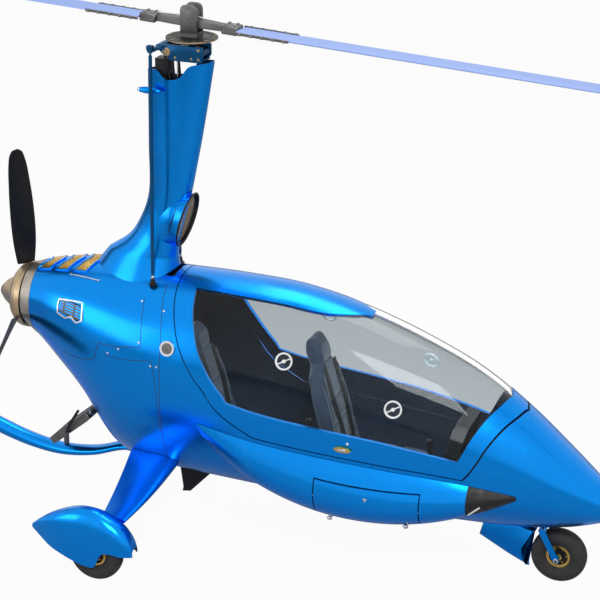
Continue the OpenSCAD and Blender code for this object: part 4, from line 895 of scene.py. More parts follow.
def ribbon(bits, path, half, lo, hi, m=0, loop=False):
    """A flat strip that follows a path on a surface, from lo to hi above it."""
    p, n = path
    t = np.roll(p, -1, 0) - np.roll(p, 1, 0) if loop else np.gradient(p, axis=0)
    side = np.cross(t, n)
    side /= np.linalg.norm(side, axis=1)[:, None]
    c = 0.25 * min(half, (hi - lo))
    ring = [(-half, lo), (half, lo), (half, hi - c), (half - c, hi), (c - half, hi), (-half, hi - c)]
    bits.rings([[q + s * a + w * b for a, b in ring] for q, s, w in zip(p, side, n)], m, loop)


def button(bits, x, a, r=6.0, m=0, out=0.3):
    at, n = skin(x, a, out)
    bits.lathe([(r, -1), (r, 0.8), (r * 0.75, 1.8), (r * 0.2, 1.8), (r * 0.15, 1.2)], at, n, m, 20)


def build_cowl_details():
    frames, mesh, dark = Bits(), Bits(), Bits()
    for x0 in (-890, -768, -646):
        rows = [(64, x0 - 22, x0 + 56), (90, x0 + 24, x0 + 102), (116, x0 - 22, x0 + 56)]
        corners = [(r[1], r[0]) for r in rows] + [(r[2], r[0]) for r in rows[::-1]]
        ribbon(frames, skin_path(corners, loop=True), 5.5, -2, 8, loop=True)

        def at(s, t):
            a = mix(rows[0][0], rows[2][0], t)
            left = np.interp(a, [r[0] for r in rows], [r[1] for r in rows])
            right = np.interp(a, [r[0] for r in rows], [r[2] for r in rows])
            return mix(left, right, s), a

        # A near-black sheet on the skin inside each louvre, under the mesh: painted shade for the opening
        ns, nt = 6, 17
        for j in range(nt):
            lo, hi = j / nt, (j + 1) / nt
            ring = [at(s, t) for s, t in ((0, lo), (1, lo), (1, hi), (0, hi))]
            dark.rings([[skin(*q, h)[0] for q in ring] for h in (-1.0, 0.8)])
        for sign in (1, -1):
            for k in range(-nt, ns + nt + 1):
                ends = [(u, (u * ns - k) / nt * sign) for u in np.linspace(0, 1, 61)]
                ends = [q for q in ends if 0 <= q[1] <= 1]
                if len(ends) > 4:
                    pick = [ends[int(q)] for q in np.linspace(0, len(ends) - 1, 6)]
                    got = [skin(*at(*q)) for q in pick]
                    path = np.array([g[0] for g in got]), np.array([g[1] for g in got])
                    ribbon(mesh, path, 1.7, 0.6, 3.6)
    frames.make("louvre_frames", "blue")
    mesh.make("louvre_mesh", "gold")
    dark.make("louvre_painted_shade", "seal")

    # Oval-cornered air outlet with slats over a near-black sheet that is painted shade for its opening, and the
    # bright rod above it
    rim = [(-703, 29), (-628, 31.5), (-552, 33.5), (-544, 26), (-541, 18.6), (-578, 14.5), (-612, 17.5),
           (-650, 13.5), (-703, 14.5), (-707, 22)]
    bright, inner, slats = Bits(), Bits(), Bits()
    ribbon(bright, skin_path(rim, 12, loop=True), 4.5, -2, 7, loop=True)
    rod_ends = [(-676, 58.2), (-491, 56.6)]
    rod = skin_path(rod_ends, 14)
    bright.tube(rod[0] + rod[1] * 4, 3.2)
    for x, a in rod_ends + [(-584, 57.4)]:
        q, n = skin(x, a, 0)
        bright.lathe([(7, -1), (7, 3), (5, 8), (2, 9)], q, n)
    # The near-black sheet across the outlet, under the slats, is painted shade
    for k in range(12):
        x0, x1 = mix(-700, -545, k / 12), mix(-700, -545, (k + 1) / 12)
        ring = [(x0, 16.5), (x1, 16.5), (x1, 31), (x0, 31)]
        inner.rings([[skin(*q, h)[0] for q in ring] for h in (-1, 0.8)])
    for a in (18, 20.5, 23, 25.5, 28):
        ribbon(slats, skin_path([(-690, a), (-560, a + 0.6)], 14), 4, 0.5, 4.5)
    for x in (-668, -600):
        ribbon(slats, skin_path([(x, 17), (x, 30)], 8), 3, 0.5, 5.5)
    both(bright, "cowl_bright", "steel")
    both(inner, "outlet_painted_shade", "seal")
    both(slats, "outlet_slats", "grey")

    lines, screws = Bits(), Bits()
    joins = (
        [(-194, 51), (-180, 34), (-166, 18.7), (-290, 14), (-426, 8.9), (-440, 3), (-454, -2.9), (-570, -12),
         (-687, -21)],
        [(-383, 3.3), (-240, 7.6), (-99, 11.9), (-84, 3), (-70, -4.8), (-64, -22)],
        [(-56, -60), (-54, -17), (-50, 0), (-50, 20), (-66, 38), (-88, 53), (-100, 66)],
    )
    for path in joins:
        ribbon(lines, skin_path(path, 12), 1.7, -0.8, 0.5)
    for x, a in ((-205, 49), (-180, 21), (-367, 5.4), (-102, 8.4), (-66, 45), (-66, 9), (-300, 12.2)):
        button(screws, x, a)
    both(lines, "panel_lines", "seal")
    both(screws, "panel_screws", "steel")


def build_body_details():
    # Metal ring that closes the cowl behind the propeller
    ring_x = np.linspace(-985, -921, 7)
    round_a = np.arange(144) * 2.5
    band = [np.array([body(x + 0 * round_a, round_a, inset) for x in ring_x]) for inset in (-2.2, 1)]
    panel("cowl_end_ring", *band, "ring", ring=True)

    # Filler cap
    x, a = -8.0, float(angle_at(-8.0, 1137.0))
    at, n = skin(x, a, 0.5)
    cap = Bits()
    prof = [(29.4, 7.1), (29.4, 8.6), (27, 9.4), (14, 8.4), (12, 10.4), (10, 10.8), (1, 10.4)]
    cap.lathe(prof, at, n, 0, 48)
    cap.box((-3.2, -13, 8), (3.2, 13, 12.2), 1.2, 0, placer(at, *basis(n)))
    cap.make("filler_cap", "grey")

    # Dark rubber in the clearance round the canopy: along both sills, over the front and over the rear
    seal, out = Bits(), 3.0
    sill, over = np.arange(0, CANOPY, 0.5), np.arange(0, UPPER, 0.5)
    pts = [(i, 0.0) for i in sill] + [(CANOPY, float(row_share(j, 1.0))) for j in over]
    pts += [(i, 1.0) for i in CANOPY - sill] + [(0, float(row_share(j, 0.0))) for j in UPPER - over]
    p = np.array([upper_point(canopy_x(i, np.asarray(v), out), np.asarray(v), out, 11) for i, v in pts])
    seal.tube(p, 2.6, 0, 8, loop=True)
    seal.make("canopy_seal", "seal")


def build_vents():
    """Round vents in the glass, each with a clear disc on a bridge."""
    rings, disc = Bits(), Bits()
    rim = [(37, -4.5), (45.5, -4.5), (46.5, -2), (46.5, 2.5), (44, 4.6), (39.5, 4.6), (37, 2.5)]
    for x, z in ((642, 1163), (1236, 990)):
        at, n = skin(x, float(angle_at(x, z)), -1.2)
        rings.lathe(rim, at, n, 0, 56, loop=True)
        u, v, w = basis(n)
        for t in (0.5, 0.5 + math.pi):
            d = math.cos(t) * u + math.sin(t) * v
            rings.hull([at + d * r + side * np.cross(d, w) * 3 + h * w
                        for r in (9, 38) for side in (-1, 1) for h in (-1.5, 1.5)])
        rings.lathe([(10, -2.4), (10, 2.4), (7, 3.6), (1, 3.6)], at, n, 0, 24)
        disc.lathe([(1, -1), (35.5, -1), (35.5, 1), (1, 1)], at, n, 0, 56)
    both(rings, "vent_rings", "white", "canopy")
    both(disc, "vent_discs", "glass", "canopy")


def build_latches():
    """The canopy's handle and stud, the lids' latches, and the lamps on the pods' caps."""
    lever, stud, latch, lamp = Bits(), Bits(), Bits(), Bits()
    a = mix(float(sill_angle(985.0, GAP)), 90, 0.05)
    at, n = skin(985.0, a, 10.5)
    lever.box((-24, -5, -1), (24, 5, 5), 2, 0, placer(at, *basis(n)))
    lever.lathe([(9, -1), (9, 5), (7, 8), (2, 9)], at, n, 0, 28)
    lever.make("handle_lever", "steel", "canopy")
    at, n = skin(1010.0, a + 3.2, -8)
    stud.lathe([(8, -1), (8, 7), (6, 10), (1, 10)], at, n, 0, 24)
    stud.make("handle_stud", "white", "canopy")

    at = pod_point(1127.0, np.asarray(0.23), -0.6)
    along = pod_point(1137.0, np.asarray(0.23), -0.6) - at
    down = pod_point(1127.0, np.asarray(0.27), -0.6) - at
    along, down = along / np.linalg.norm(along), down / np.linalg.norm(down)
    n = np.cross(along, down)
    n = n / np.linalg.norm(n) * (1 if n[1] < 0 else -1)
    latch.slab([(-13, -9), (13, -9), (0, 13)], lambda u, v, h: at + along * u + down * v + n * (h - 1), 4.5)
    latch.lathe([(3.6, 3), (3.6, 5), (1, 5.4)], at - down * 1.5, n, 0, 16)
    both(latch, "lid_latch", "steel", "lid_{}")

    run = [(x, mix(0.60, 0.42, (x - 1652) / 60)) for x in np.linspace(1652, 1712, 9)]
    lamp.tube([pod_point(x, np.asarray(q), -1.5) for x, q in run], 4.5)
    both(lamp, "cap_lamp", "white")


def build_rods():
    rods, boots, ends = Bits(), Bits(), Bits()
    deck = float(deck_z(-172.0, 159.0))
    foot, top = np.array([-172.0, -176.0, deck + 35]), np.array([-180.0, -120.0, 2654.0])
    run = (top - foot) / np.linalg.norm(top - foot)
    sleeve = [foot + run * 26, foot + run * 40, mix(foot, top, 0.5), top - run * 30, top - run * 14]
    rods.tube(sleeve, 9.6, 0, 20)
    rods.tube([foot + run * 14, foot + run * 30], 7, 0, 16)
    rods.tube([top - run * 18, top - run * 2], 6.5, 0, 16)
    boot = [(17, 0.5)]
    for k in range(4):
        z = 3 + k * 7.6
        boot += [(16.6 - k * 1.2, z), (12.4 - k * 0.8, z + 3.6)]
    boot += [(11.5, 32), (9, 34.5)]
    seat = (-172, -176, deck)
    boots.lathe(boot, seat, (0, 0, 1), 0, 36)
    boots.lathe([(24, -2), (24, 1.4), (21, 2.6), (15, 2.6)], seat, (0, 0.03, 1), 0, 36)
    ends.lathe([(7, -1), (9.5, 3), (9.5, 9), (7, 13)], foot, run, 0, 24)
    ends.lathe([(3, -12), (6, -12), (6, 12), (3, 12)], foot + run * 6, (0, 1, 0), 0, 16)
    both(rods, "push_rod", "frame_blue", replaces=("control_rods",))
    both(boots, "rod_boot", "black")
    both(ends, "rod_end", "steel")


def build_strobes():
    shell, lens, core = Bits(), Bits(), Bits()
    at, ahead = np.array([-263.0, -86.0, 2448.0]), (1, 0, 0)
    prof = [(11.5, 4), (13.4, 4)] + [(18 * (0.7 + 0.3 * sind(a)), 4 + 38 * a / 90) for a in range(10, 91, 8)]
    prof += [(18 * cosd(a), 42 + 78 * sind(a)) for a in range(6, 91, 6)]
    shell.lathe(prof, at, ahead)
    shell.hull([(-203 + 16 * cosd(t), y, 2448 + 5 * sind(t)) for t in range(0, 360, 24) for y in (-84, -70.5)])
    dome = [(11.6 * sind(t), -11.8 * cosd(t)) for t in range(12, 91, 10)]
    lens.lathe([(1, -12)] + dome + [(11.6, 5), (1, 5)], at, ahead, 0, 32)
    core.lathe([(1, -6), (4, -5), (5, 0), (5, 5), (1, 5)], at, ahead, 0, 20)
    both(shell, "strobe_body", "blue", replaces=("strobe_pods",))
    both(lens, "strobe_lens", "glass")
    both(core, "strobe_lamp", "white")


def build_head():
    b, struts, bolts, cables = Bits(), Bits(), Bits(), Bits()
    plate = [(-162, 2660), (-152, 2684), (-120, 2692), (-60, 2692), (20, 2692), (85, 2692), (85, 2634),
             (68, 2612), (10, 2609), (-50, 2609), (-96, 2618), (-138, 2636)]
    for y in (-58, 46):
        b.slab(plate, lambda u, v, h, y=y: np.array([u, y + h, v]), 12, 0, 2.5)
    b.box((-110, -57, 2608.5), (76, 57, 2620), 2)
    b.box((-70, -45, 2618), (44, 45, 2680), 6)
    b.box((30, -46, 2640), (80, 46, 2672), 5)
    b.lathe([(18, 2640), (18, 2749), (14, 2750)], (0, 0, 0), (0, 0, 1), 0, 36)
    shaft = [(12, -119), (12, -60), (17, -58), (17, 58), (12, 60), (12, 119)]
    b.lathe(shaft, (-164, 0, 2673), (0, 1, 0), 0, 32)
    for side in (-1, 1):
        b.hull([(-180 + sx * rx, side * 120 + sy * ry, z) for rx, ry, z in
                ((16, 14, 2694.5), (16, 14, 2676), (9, 9, 2655.5)) for sx in (-1, 1) for sy in (-1, 1)])
        b.bolt((-180, side * 120, 2694), (0, 0, 1), 7, 2)
        b.tube([(-172, side * 104, 2674), (-140, side * 62, 2672), (-128, side * 54, 2668)], 9)
    b.make("head_casting", "frame_blue", replaces=("rotor_head",))
    for side in (-1, 1):
        washer = [(9, 0), (22, 0), (22, 3), (17, 4.5), (9, 4.5)]
        bolts.lathe(washer, (-118, side * 58, 2655), (0, side, 0), 0, 32)
        for x, y, z, r, h in ((-118, 60, 2655, 10, 7), (60, 58, 2628, 5, 4), (20, 58, 2628, 5, 4),
                              (-70, 58, 2628, 5, 4), (60, 58, 2676, 6, 5)):
            bolts.bolt((x, side * y, z), (0, side, 0), r, h)
    bolts.make("head_bolts", "bronze")
    for x, y in ((-128, -34), (-96, -40), (-128, 34), (-96, 40)):
        struts.tube([(x, y, 2612), (x + 6, y * 0.9, 2540), (x + 24, y * 0.6, 2440)], 7)
    struts.tube([(-140, -12, 2640), (-150, -10, 2600), (-140, 0, 2540), (-120, 10, 2450)], 5)
    struts.make("head_struts", "black")
    cables.tube([(-112, -14, 2610), (-106, -12, 2540), (-90, -8, 2450)], 4)
    cables.tube([(-60, -50, 2606), (-62, -46, 2560), (-66, -40, 2480)], 4)
    cables.make("head_cables", "steel")


def build_tower():
    b, disc, rim = Bits(), Bits(), Bits()
    cheek = [(-46, 2754), (46, 2754), (46, 2872), (41, 2889), (28, 2899), (10, 2901), (-10, 2901), (-28, 2899),
             (-41, 2889), (-46, 2872)]
    for y in (-43, 31):
        b.slab(cheek, lambda u, v, h, y=y: np.array([u, y + h, v]), 12, 0, 2)
    b.box((-46, -43, 2732.5), (46, 43, 2756), 2)
    for sx in (-1, 1):
        for sy in (-1, 1):
            b.bolt((sx * 36, sy * 36, 2755), (0, 0, 1), 4, 3)
    b.make("tower_cheeks", "grey", "rotor_hub", replaces=("rotor_tower",))
    up = (0, 0, 1)
    prof = [(19, 2722), (133, 2722), (134.5, 2724), (134.5, 2730), (133, 2732), (112, 2732), (110, 2730.6),
            (64, 2730.6), (62, 2732), (19, 2732)]
    disc.lathe(prof, (0, 0, 0), up, 0, 96, loop=True)
    disc.make("brake_disc", "black", "rotor_hub")
    for x, y in turns(12, 122):
        rim.lathe([(4, 0), (7, 0), (7, 2), (4, 2)], (x, y, 2731.5), up, 0, 14, loop=True)
    rim.lathe([(134, 2723.5), (135, 2724), (135, 2730), (134, 2730.5)], (0, 0, 0), up, 0, 96, loop=True)
    rim.make("brake_rim", "bronze", "rotor_hub")


# The teeter bolt's height, and how far the parked rotor leans on it
TEETER_Z, PARKED_LEAN = 2861, math.radians(3.4)


def teetered(p):
    """A place on the parked rotor, from a point measured from the middle of its teeter bolt."""
    x, y, z = np.asarray(p, float)
    s, c = math.sin(PARKED_LEAN), math.cos(PARKED_LEAN)
    return np.array([x * c + z * s, y, TEETER_Z - x * s + z * c])


def build_bar():
    b, bolts, rod = Bits(), Bits(), Bits()
    turn = np.array([teetered(v) - teetered((0, 0, 0)) for v in np.eye(3)])
    aim = lambda v: np.asarray(v, float) @ turn
    b.lathe([(7.9, -50), (7.9, 50)], (0, 0, TEETER_Z), (0, 1, 0), 0, 28)
    b.slab([(-38, -75), (38, -75), (38, 6), (30, 18), (14, 22), (-14, 22), (-30, 18), (-38, 6)],
           lambda u, v, h: teetered((u, h - 28, v)), 56, 0, 3)
    for s in (-1, 1):
        arm = ((30, 25, -75, -36), (110, 25, -74, -41), (196, 24, -72, -44))
        b.hull([teetered((s * x, y, z))
                for x, half, low, top in arm for y in (-half, half) for z in (low, top)])
        b.box((184, -43, -80), (272, 43, -36), 5, 0, lambda p, s=s: teetered((s * p[0], p[1], p[2])))
        for x in (204, 250):
            for y in (-24, 24):
                bolts.bolt(teetered((s * x, y, -36.5)), aim((0, 0, 1)), 8, 8)
        rod.tube([teetered((s * x, 0, z)) for x, z in ((40, -24), (90, -28), (150, -31), (190, -33))], 4.5)
        for y in (-71.5, 79.0):
            yy = y * s
            b.box((262, -4, -65), (560, 4, -51), 1.5, 0,
                  lambda p, s=s, yy=yy: teetered((s * p[0], yy + p[1], p[2])))
            out = 1 if yy > 0 else -1
            for x in np.linspace(300, 540, 5):
                bolts.bolt(teetered((s * x, yy + out * 4, -58)), (0, out, 0), 6.5, 15)
    for s in (-1, 1):
        bolts.bolt((0, s * 43.3, TEETER_Z), (0, s, 0), 12, 7)
        bolts.lathe([(9, 0), (19, 0), (19, 1.6), (9, 1.6)], (0, s * 43.2, TEETER_Z), (0, s, 0), 0, 28)
    b.make("hub_bar", "grey", "rotor", replaces=("teeter_bar",))
    bolts.make("hub_bolts", "cast", "rotor")
    rod.make("hub_rods", "steel", "rotor")


PROP_X, PROP_Z = -1040, 1165


def build_prop():
    # Radius, chord, pitch angle and thickness as a share of the chord
    table = [[120, 74, 52, 0.42], [200, 104, 44, 0.24], [320, 140, 34, 0.16], [480, 158, 26, 0.13],
             [660, 150, 20, 0.11], [790, 122, 17, 0.10], [840, 84, 16, 0.10], [856, 40, 16, 0.10]]
    b, screws = Bits(), Bits()
    for th in (4, 124, 244):
        rings = []
        for i in range(48, -1, -1):
            r = mix(186.5, 856, (i / 48) ** 0.8)
            c, be, t = (float(smooth(table, r, q)) for q in (1, 2, 3))
            p = foil_outline(c, t, 20)
            u = p[:, 0] - c * 0.4
            x = PROP_X + u * sind(be) + p[:, 1] * cosd(be)
            y = u * cosd(be) - p[:, 1] * sind(be)
            rings.append(np.stack([x, y * cosd(th) - r * sind(th), PROP_Z + y * sind(th) + r * cosd(th)], -1))
        b.rings(rings)
    b.make("propeller_blades", "carbon", "propeller", replaces=("prop_blades",))
    for y, z in turns(9, 150):
        screws.bolt((PROP_X - 27, y, PROP_Z + z), (-1, 0, 0), 5, 3)
    screws.make("spinner_screws", "steel", "propeller")


def build_wheels():
    def wheel(tag, x, y, body_name, node_end):
        at = np.array([x, y, WHEEL_R], float)
        tyre, ring, hub, bolt = Bits(), Bits(), Bits(), Bits()
        prof = [(64, -26)]
        for a in np.arange(-100, 101, 1.0):
            r = 64 + (WHEEL_R - 64) * (0.45 + 0.55 * spow(cosd(a * 0.9), 0.7))
            h = 48 * spow(sind(a * 0.9), 0.75)
            if min(abs(abs(h) - 17), abs(h)) < 2.2:
                r -= 4.2
            if 36 < abs(h) < 46.5 and 96 < r < 100:
                r += 1.4
            prof.append((r, h))
        prof.append((64, 26))
        tyre.lathe(prof, at, (0, 1, 0), 0, 96, loop=True)
        tyre.make(tag + "_tyre", "tyre", body_name, sharp=50, replaces=(node_end.format("tyre"),))
        ring.lathe([(50, -24), (52, -26), (63.4, -26), (63.4, 26), (52, 26), (50, 24), (55, 20), (55, -20)],
                   at, (0, 1, 0), 0, 72, loop=True)
        ring.make(tag + "_rim", "gold", body_name, replaces=(node_end.format("rim"),))
        hub.lathe([(10.5, -33.5), (22, -33.5), (25, -30), (27, -12), (55, -9), (55, 9), (27, 12), (25, 30),
                   (22, 33.5), (10.5, 33.5)], at, (0, 1, 0), 0, 60, loop=True)
        hub.make(tag + "_hub", "black", body_name)
        for s in (-1, 1):
            for dx, dz in turns(6, 40):
                bolt.bolt(at + (dx, s * 9.5, dz), (0, s, 0), 4.5, 4)
            cap = [(11, 0), (20, 0), (20, 2), (17, 3), (11, 3)]
            bolt.lathe(cap, at + (0, s * 33, 0), (0, s, 0), 0, 40, loop=True)
        bolt.make(tag + "_bolts", "gold", body_name)

    wheel("right", AXLE_X, -TRACK_HALF, "wheel_right", "main_{}_right")
    wheel("left", AXLE_X, TRACK_HALF, "wheel_left", "main_{}_left")
    wheel("nose", NOSE_AXLE_X, 0, "nose_wheel", "nose_{}")
    nut = Bits()
    for s in (-1, 1):
        prof = [(6.6, 0), (15, 0), (15, 4), (13, 6), (6.6, 6)]
        nut.lathe(prof, (NOSE_AXLE_X, s * 77.5, WHEEL_R), (0, s, 0), 0, 6, loop=True)
    nut.make("fork_nuts", "steel", "fork")


def build_fairing():
    reach = WHEEL_R + 34
    arc = [(NOSE_AXLE_X + reach * cosd(a), WHEEL_R + reach * sind(a)) for a in np.arange(118, 226.1, 3)]
    arc = [p for p in arc if 52 < p[1] < 285]
    top = [(x, float(smooth(BODY, x, 4)) - 0.5) for x in range(1665, 1881, 24)]
    out = top + arc + [(arc[-1][0] - 2, 52), (1800, 105), (1700, 160), (1640, 196)]

    def tapered(u, v, h):
        return np.array([u, (h - 46) * mix(0.26, 1, min(1, max(0, v - 52) / 230)), v])

    b = Bits()
    b.slab(out, tapered, 92, 0, 16)
    b.make("nose_fin", "blue", replaces=("nose_fairing",), sharp=50)


def build_cooler():
    a = math.radians(40)
    ex, ez = np.array([math.cos(a), 0, math.sin(a)]), np.array([-math.sin(a), 0, math.cos(a)])
    o = np.array([-835.0, -150.0, 322.0])
    place = placer(o, ex, np.array([0, 1, 0]), ez)
    b, dark, hose = Bits(), Bits(), Bits()
    for lo, hi, bevel in (((0, 0, 2), (24, 220, 44), 4), ((288, 0, 2), (312, 220, 44), 4),
                          ((20, 0, 0), (292, 7, 46), 1.5), ((20, 213, 0), (292, 220, 46), 1.5)):
        b.box(lo, hi, bevel, 0, place)
    for k in range(19):
        y = 14 + k * 10.6
        b.box((20, y, 5), (292, y + 3.4, 43), 0.8, 0, place)
    # A near-black block between the fins: painted shade inside the core
    dark.box((22, 6, 12), (290, 214, 34), 1, 0, place)
    foot_z = float(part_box("oil_cooler")[0][2]) / MM
    b.box((-846, -12, foot_z), (-822, 12, 340), 2)
    for y in (40, 180):
        p = place((312, y, 26))
        hose.tube([p - ex * 6, p + ex * 22, p + ex * 46 + np.array([6, 0, 10]), p + np.array([66, 0, 66])], 11)
        hose.lathe([(14, -4), (14, 8), (12, 10)], p, ex, 1, 20)
    hose.tube([place((150, -2, 10)), place((150, -30, 20)), place((210, -42, 46)), place((300, -20, 80))], 8)
    b.make("cooler_core", "grey", replaces=("oil_cooler",))
    dark.make("cooler_painted_shade", "seal")
    hose.make("cooler_hoses", ["black", "steel"])


def build_intake_mesh():
    b, back, lip = Bits(), Bits(), Bits()
    at = lambda y, z, d: np.array([MOUTH_X + z * MOUTH_LEAN - d, y, MOUTH_Z + z])
    ry, rz = MOUTH_SIDE - 9, MOUTH_UP - 9
    for sign in (1, -1):
        for k in np.arange(-26, 27):
            pts = [(u * ry, sign * u * ry * 1.3 + k * 21) for u in np.linspace(-1, 1, 81)]
            pts = [(y, z) for y, z in pts if (y / ry) ** 2 + (z / rz) ** 2 < 1]
            if len(pts) > 4:
                (y0, z0), (y1, z1) = pts[0], pts[-1]
                b.tube([at(mix(y0, y1, q), mix(z0, z1, q), 20 + sign * 0.8) for q in (0, 0.5, 1)], 1.5, 0, 6)
    t = np.arange(72) * 5
    # A near-black plate behind the mesh: painted shade for the depth of the intake
    back.rings([[at(ry * cosd(q), rz * sind(q), d) for q in t] for d in (52, 48)])
    lip.tube([at((MOUTH_SIDE - 4) * cosd(q), (MOUTH_UP - 4) * sind(q), 0) for q in t], 5.5, 0, 12, loop=True)
    b.make("intake_mesh", "bronze")
    back.make("intake_painted_shade", "seal")
    lip.make("intake_lip", "black")


def build_instruments():
    a = math.radians(12)
    ahead, up = np.array([math.cos(a), 0, -math.sin(a)]), np.array([math.sin(a), 0, math.cos(a)])
    place, aim = placer(np.array([1460.0, 0, 615]), ahead, np.array([0, 1, 0]), up), -ahead
    ring, face, hand = Bits(), Bits(), Bits()
    dials = ((-108, 176, 34), (-30, 196, 38), (52, 196, 38), (124, 176, 30), (-126, 100, 24), (126, 100, 24))
    for y, z, r in dials:
        at = place((0, y, z))
        ring.lathe([(r, 0), (r + 5, 0), (r + 5, 4), (r + 2, 7), (r, 5)], at, aim, 0, 40, loop=True)
        face.lathe([(r, 0.2), (r, 1.5), (1, 1.5)], at, aim, 0, 40)
        for c, s in turns(12):
            hand.hull([place((-1.5 - h, y + c * q - s * w, z + s * q + c * w))
                       for q in (r * 0.76, r * 0.93) for w in (-0.8, 0.8) for h in (0, 0.7)])
        needle = ((-2, -r * 0.2), (2, -r * 0.2), (r * 0.4, r * 0.5), (r * 0.35, r * 0.52))
        hand.hull([place((-2 - h, y + dy, z + dz)) for dy, dz in needle for h in (0, 0.8)])
    ring.box((-6, -84, 36), (0, 84, 140), 3, 0, place)
    face.box((-8, -76, 44), (-4, 76, 132), 1, 1, place)
    for k in range(7):
        ring.lathe([(6, 0), (6, 6), (4, 9), (1, 9)], place((0, -90 + 30 * k, 18)), aim, 0, 16)
    ring.make("dial_rings", "grey")
    face.make("dial_faces", ["black", "frame_blue"])
    hand.make("dial_marks", "white")
    stick = Bits()
    grip = [(13, 0), (17, 6), (16, 60), (19, 84), (14, 96), (4, 100)]
    for x in (1380, 700):
        stick.tube([(x, 0, 356), (x - 10, 0, 450), (x - 30, 0, 560), (x - 34, 0, 590)], 9)
        stick.lathe(grip, (x - 34, 0, 588), (-0.1, 0, 1), 0, 24)
    stick.make("control_sticks", "black")


for build in (build_cowl_details, build_body_details, build_vents, build_latches, build_rods, build_strobes,
              build_head, build_tower, build_bar, build_prop, build_wheels, build_fairing, build_cooler,
              build_intake_mesh, build_instruments):
    build()


# ---- Seats ----
def pad_base(outline, thick, steps=6):
    """A closed cushion with rounded faces from an outline of (u, v) points."""
    o = np.asarray(outline, float)
    mid = o.mean(0)
    rows = []
    for h in np.linspace(0, 1, steps):
        k = 1 - 0.10 * (abs(2 * h - 1) ** 3)
        rows.append([(*(mid + (q - mid) * k), h * thick) for q in o])
    return np.array(rows)


def puff(name, rows, place, seams, cap, floor_h, top_h):
    """A padded piece: remeshed, inflated as cloth under a cap, then sewn along its seams."""
    me = bpy.data.meshes.new(name)
    me.from_pydata([tuple(v * MM) for v in rows.reshape(-1, 3)], [], ring_faces(*rows.shape[:2]))
    ob = bpy.data.objects.new(name, me)
    bpy.context.scene.collection.objects.link(ob)

    def applied(make, frame_end=None):
        m = make()
        if frame_end:
            for i in range(1, frame_end + 1):
                bpy.context.scene.frame_set(i)
        deps = bpy.context.evaluated_depsgraph_get()
        new = bpy.data.meshes.new_from_object(ob.evaluated_get(deps))
        ob.modifiers.remove(m)
        ob.data = new
        if frame_end:
            bpy.context.scene.frame_set(1)

    def remesh():
        m = ob.modifiers.new("remesh", "REMESH")
        m.mode, m.voxel_size = "VOXEL", 0.006
        return m

    def cloth():
        m = ob.modifiers.new("cloth", "CLOTH")
        c = m.settings
        c.quality, c.mass = 5, 0.3
        c.use_pressure, c.uniform_pressure_force = True, 4.0
        c.effector_weights.gravity = 0
        c.tension_stiffness = c.compression_stiffness = 12
        m.point_cache.frame_start, m.point_cache.frame_end = 1, 20
        return m

    def read(what):
        got = np.empty(len(ob.data.vertices) * 3, np.float32)
        ob.data.vertices.foreach_get(what, got)
        return got.reshape(-1, 3)

    applied(remesh)
    rest = read("co") / MM
    applied(cloth, 20)
    d = read("co") / MM - rest
    size = np.linalg.norm(d, axis=1)[:, None]
    co = rest + d * np.minimum(1, cap / np.maximum(size, 1e-6))
    co[:, 2] = np.clip(co[:, 2], floor_h, top_h)
    nrm = read("normal")
    for (u0, v0), (u1, v1), depth in seams:
        e = np.array([u1 - u0, v1 - v0], float)
        q = co[:, :2] - (u0, v0)
        t = np.clip(q @ e / (e @ e), 0, 1)
        dist = np.linalg.norm(q - t[:, None] * e, axis=1)
        co -= nrm * (depth * np.exp(-((dist / 7.0) ** 2)))[:, None]
    pos = np.array([place(p) for p in co], np.float32) * MM
    ob.data.vertices.foreach_set("co", pos.reshape(-1))
    ob.data.update()

    def subdivide():
        m = ob.modifiers.new("smooth", "SUBSURF")
        m.levels = m.render_levels = 1
        return m

    applied(subdivide)
    ob.data.materials.clear()
    ob.data.materials.append(FINISH["cloth"][1])
    ob.data.shade_smooth()
    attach(ob, "root")
    return ob


def build_seat(tag, box_x, height, length, node):
    """A cushion and a back on one seat box, with their belts. The back leans by 15 degrees."""
    base, half = 455.3, 186
    cushion = [(12, -half), (length - 40, -half), (length - 14, -half + 30), (length - 12, 0),
               (length - 14, half - 30), (length - 40, half), (12, half), (10, 0)]

    def dense(o, step=22):
        out = []
        for a, b in zip(o, o[1:] + o[:1]):
            a, b = np.array(a, float), np.array(b, float)
            m = max(1, int(np.linalg.norm(b - a) / step))
            out += [tuple(mix(a, b, k / m)) for k in range(m)]
        return out

    c = puff("seat_cushion_" + tag, pad_base(dense(cushion), 74), lambda p: np.array([box_x, 0, base]) + p,
             [((110, -150), (110, 150), 6), ((220, -150), (220, 150), 6), ((20, -132), (length - 60, -132), 7),
              ((20, 132), (length - 60, 132), 7)], 24, 0.3, 96)
    back = [(-176, 10), (176, 10), (190, 120), (186, height * 0.55), (156, height * 0.74), (100, height * 0.80),
            (88, height * 0.94), (62, height * 0.985), (-62, height * 0.985), (-88, height * 0.94),
            (-100, height * 0.80), (-156, height * 0.74), (-186, height * 0.55), (-190, 120)]
    s15, c15 = sind(15), cosd(15)

    def lean(p):
        x, y, z = p[2] - 85, p[0], p[1]
        return np.array([box_x + x * c15 - z * s15, y, base + 8 + x * s15 + z * c15])

    puff("seat_back_" + tag, pad_base(dense(back), 70), lean,
             [((-120, height * q), (120, height * q), 6) for q in (0.2, 0.36, 0.52)]
             + [((s * 128, 40), (s * 128, height * 0.66), 8) for s in (-1, 1)]
             + [((-92, height * 0.79), (92, height * 0.79), 7)], 24, 0.5, 84)
    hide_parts(node)
    belt = Bits()
    for s in (-1, 1):
        pts = [lean(q) for q in ((s * 70, height * 0.76, 84), (s * 76, height * 0.5, 94),
                                 (s * 60, height * 0.25, 96), (s * 40, 112, 104))]
        path = [mix(p0, p1, q / 5) for p0, p1 in zip(pts[:-1], pts[1:]) for q in range(5)] + [pts[-1]]
        out = np.array([lean((0, 0, 1)) - lean((0, 0, 0))] * len(path))
        ribbon(belt, (np.array(path), out), 21, -1.5, 1.2)
    belt.make("seat_belts_" + tag, "black")


build_seat("front", 925, 785, 400, "front_seat")
build_seat("rear", 205, 785 * 0.93, 400, "rear_seat")

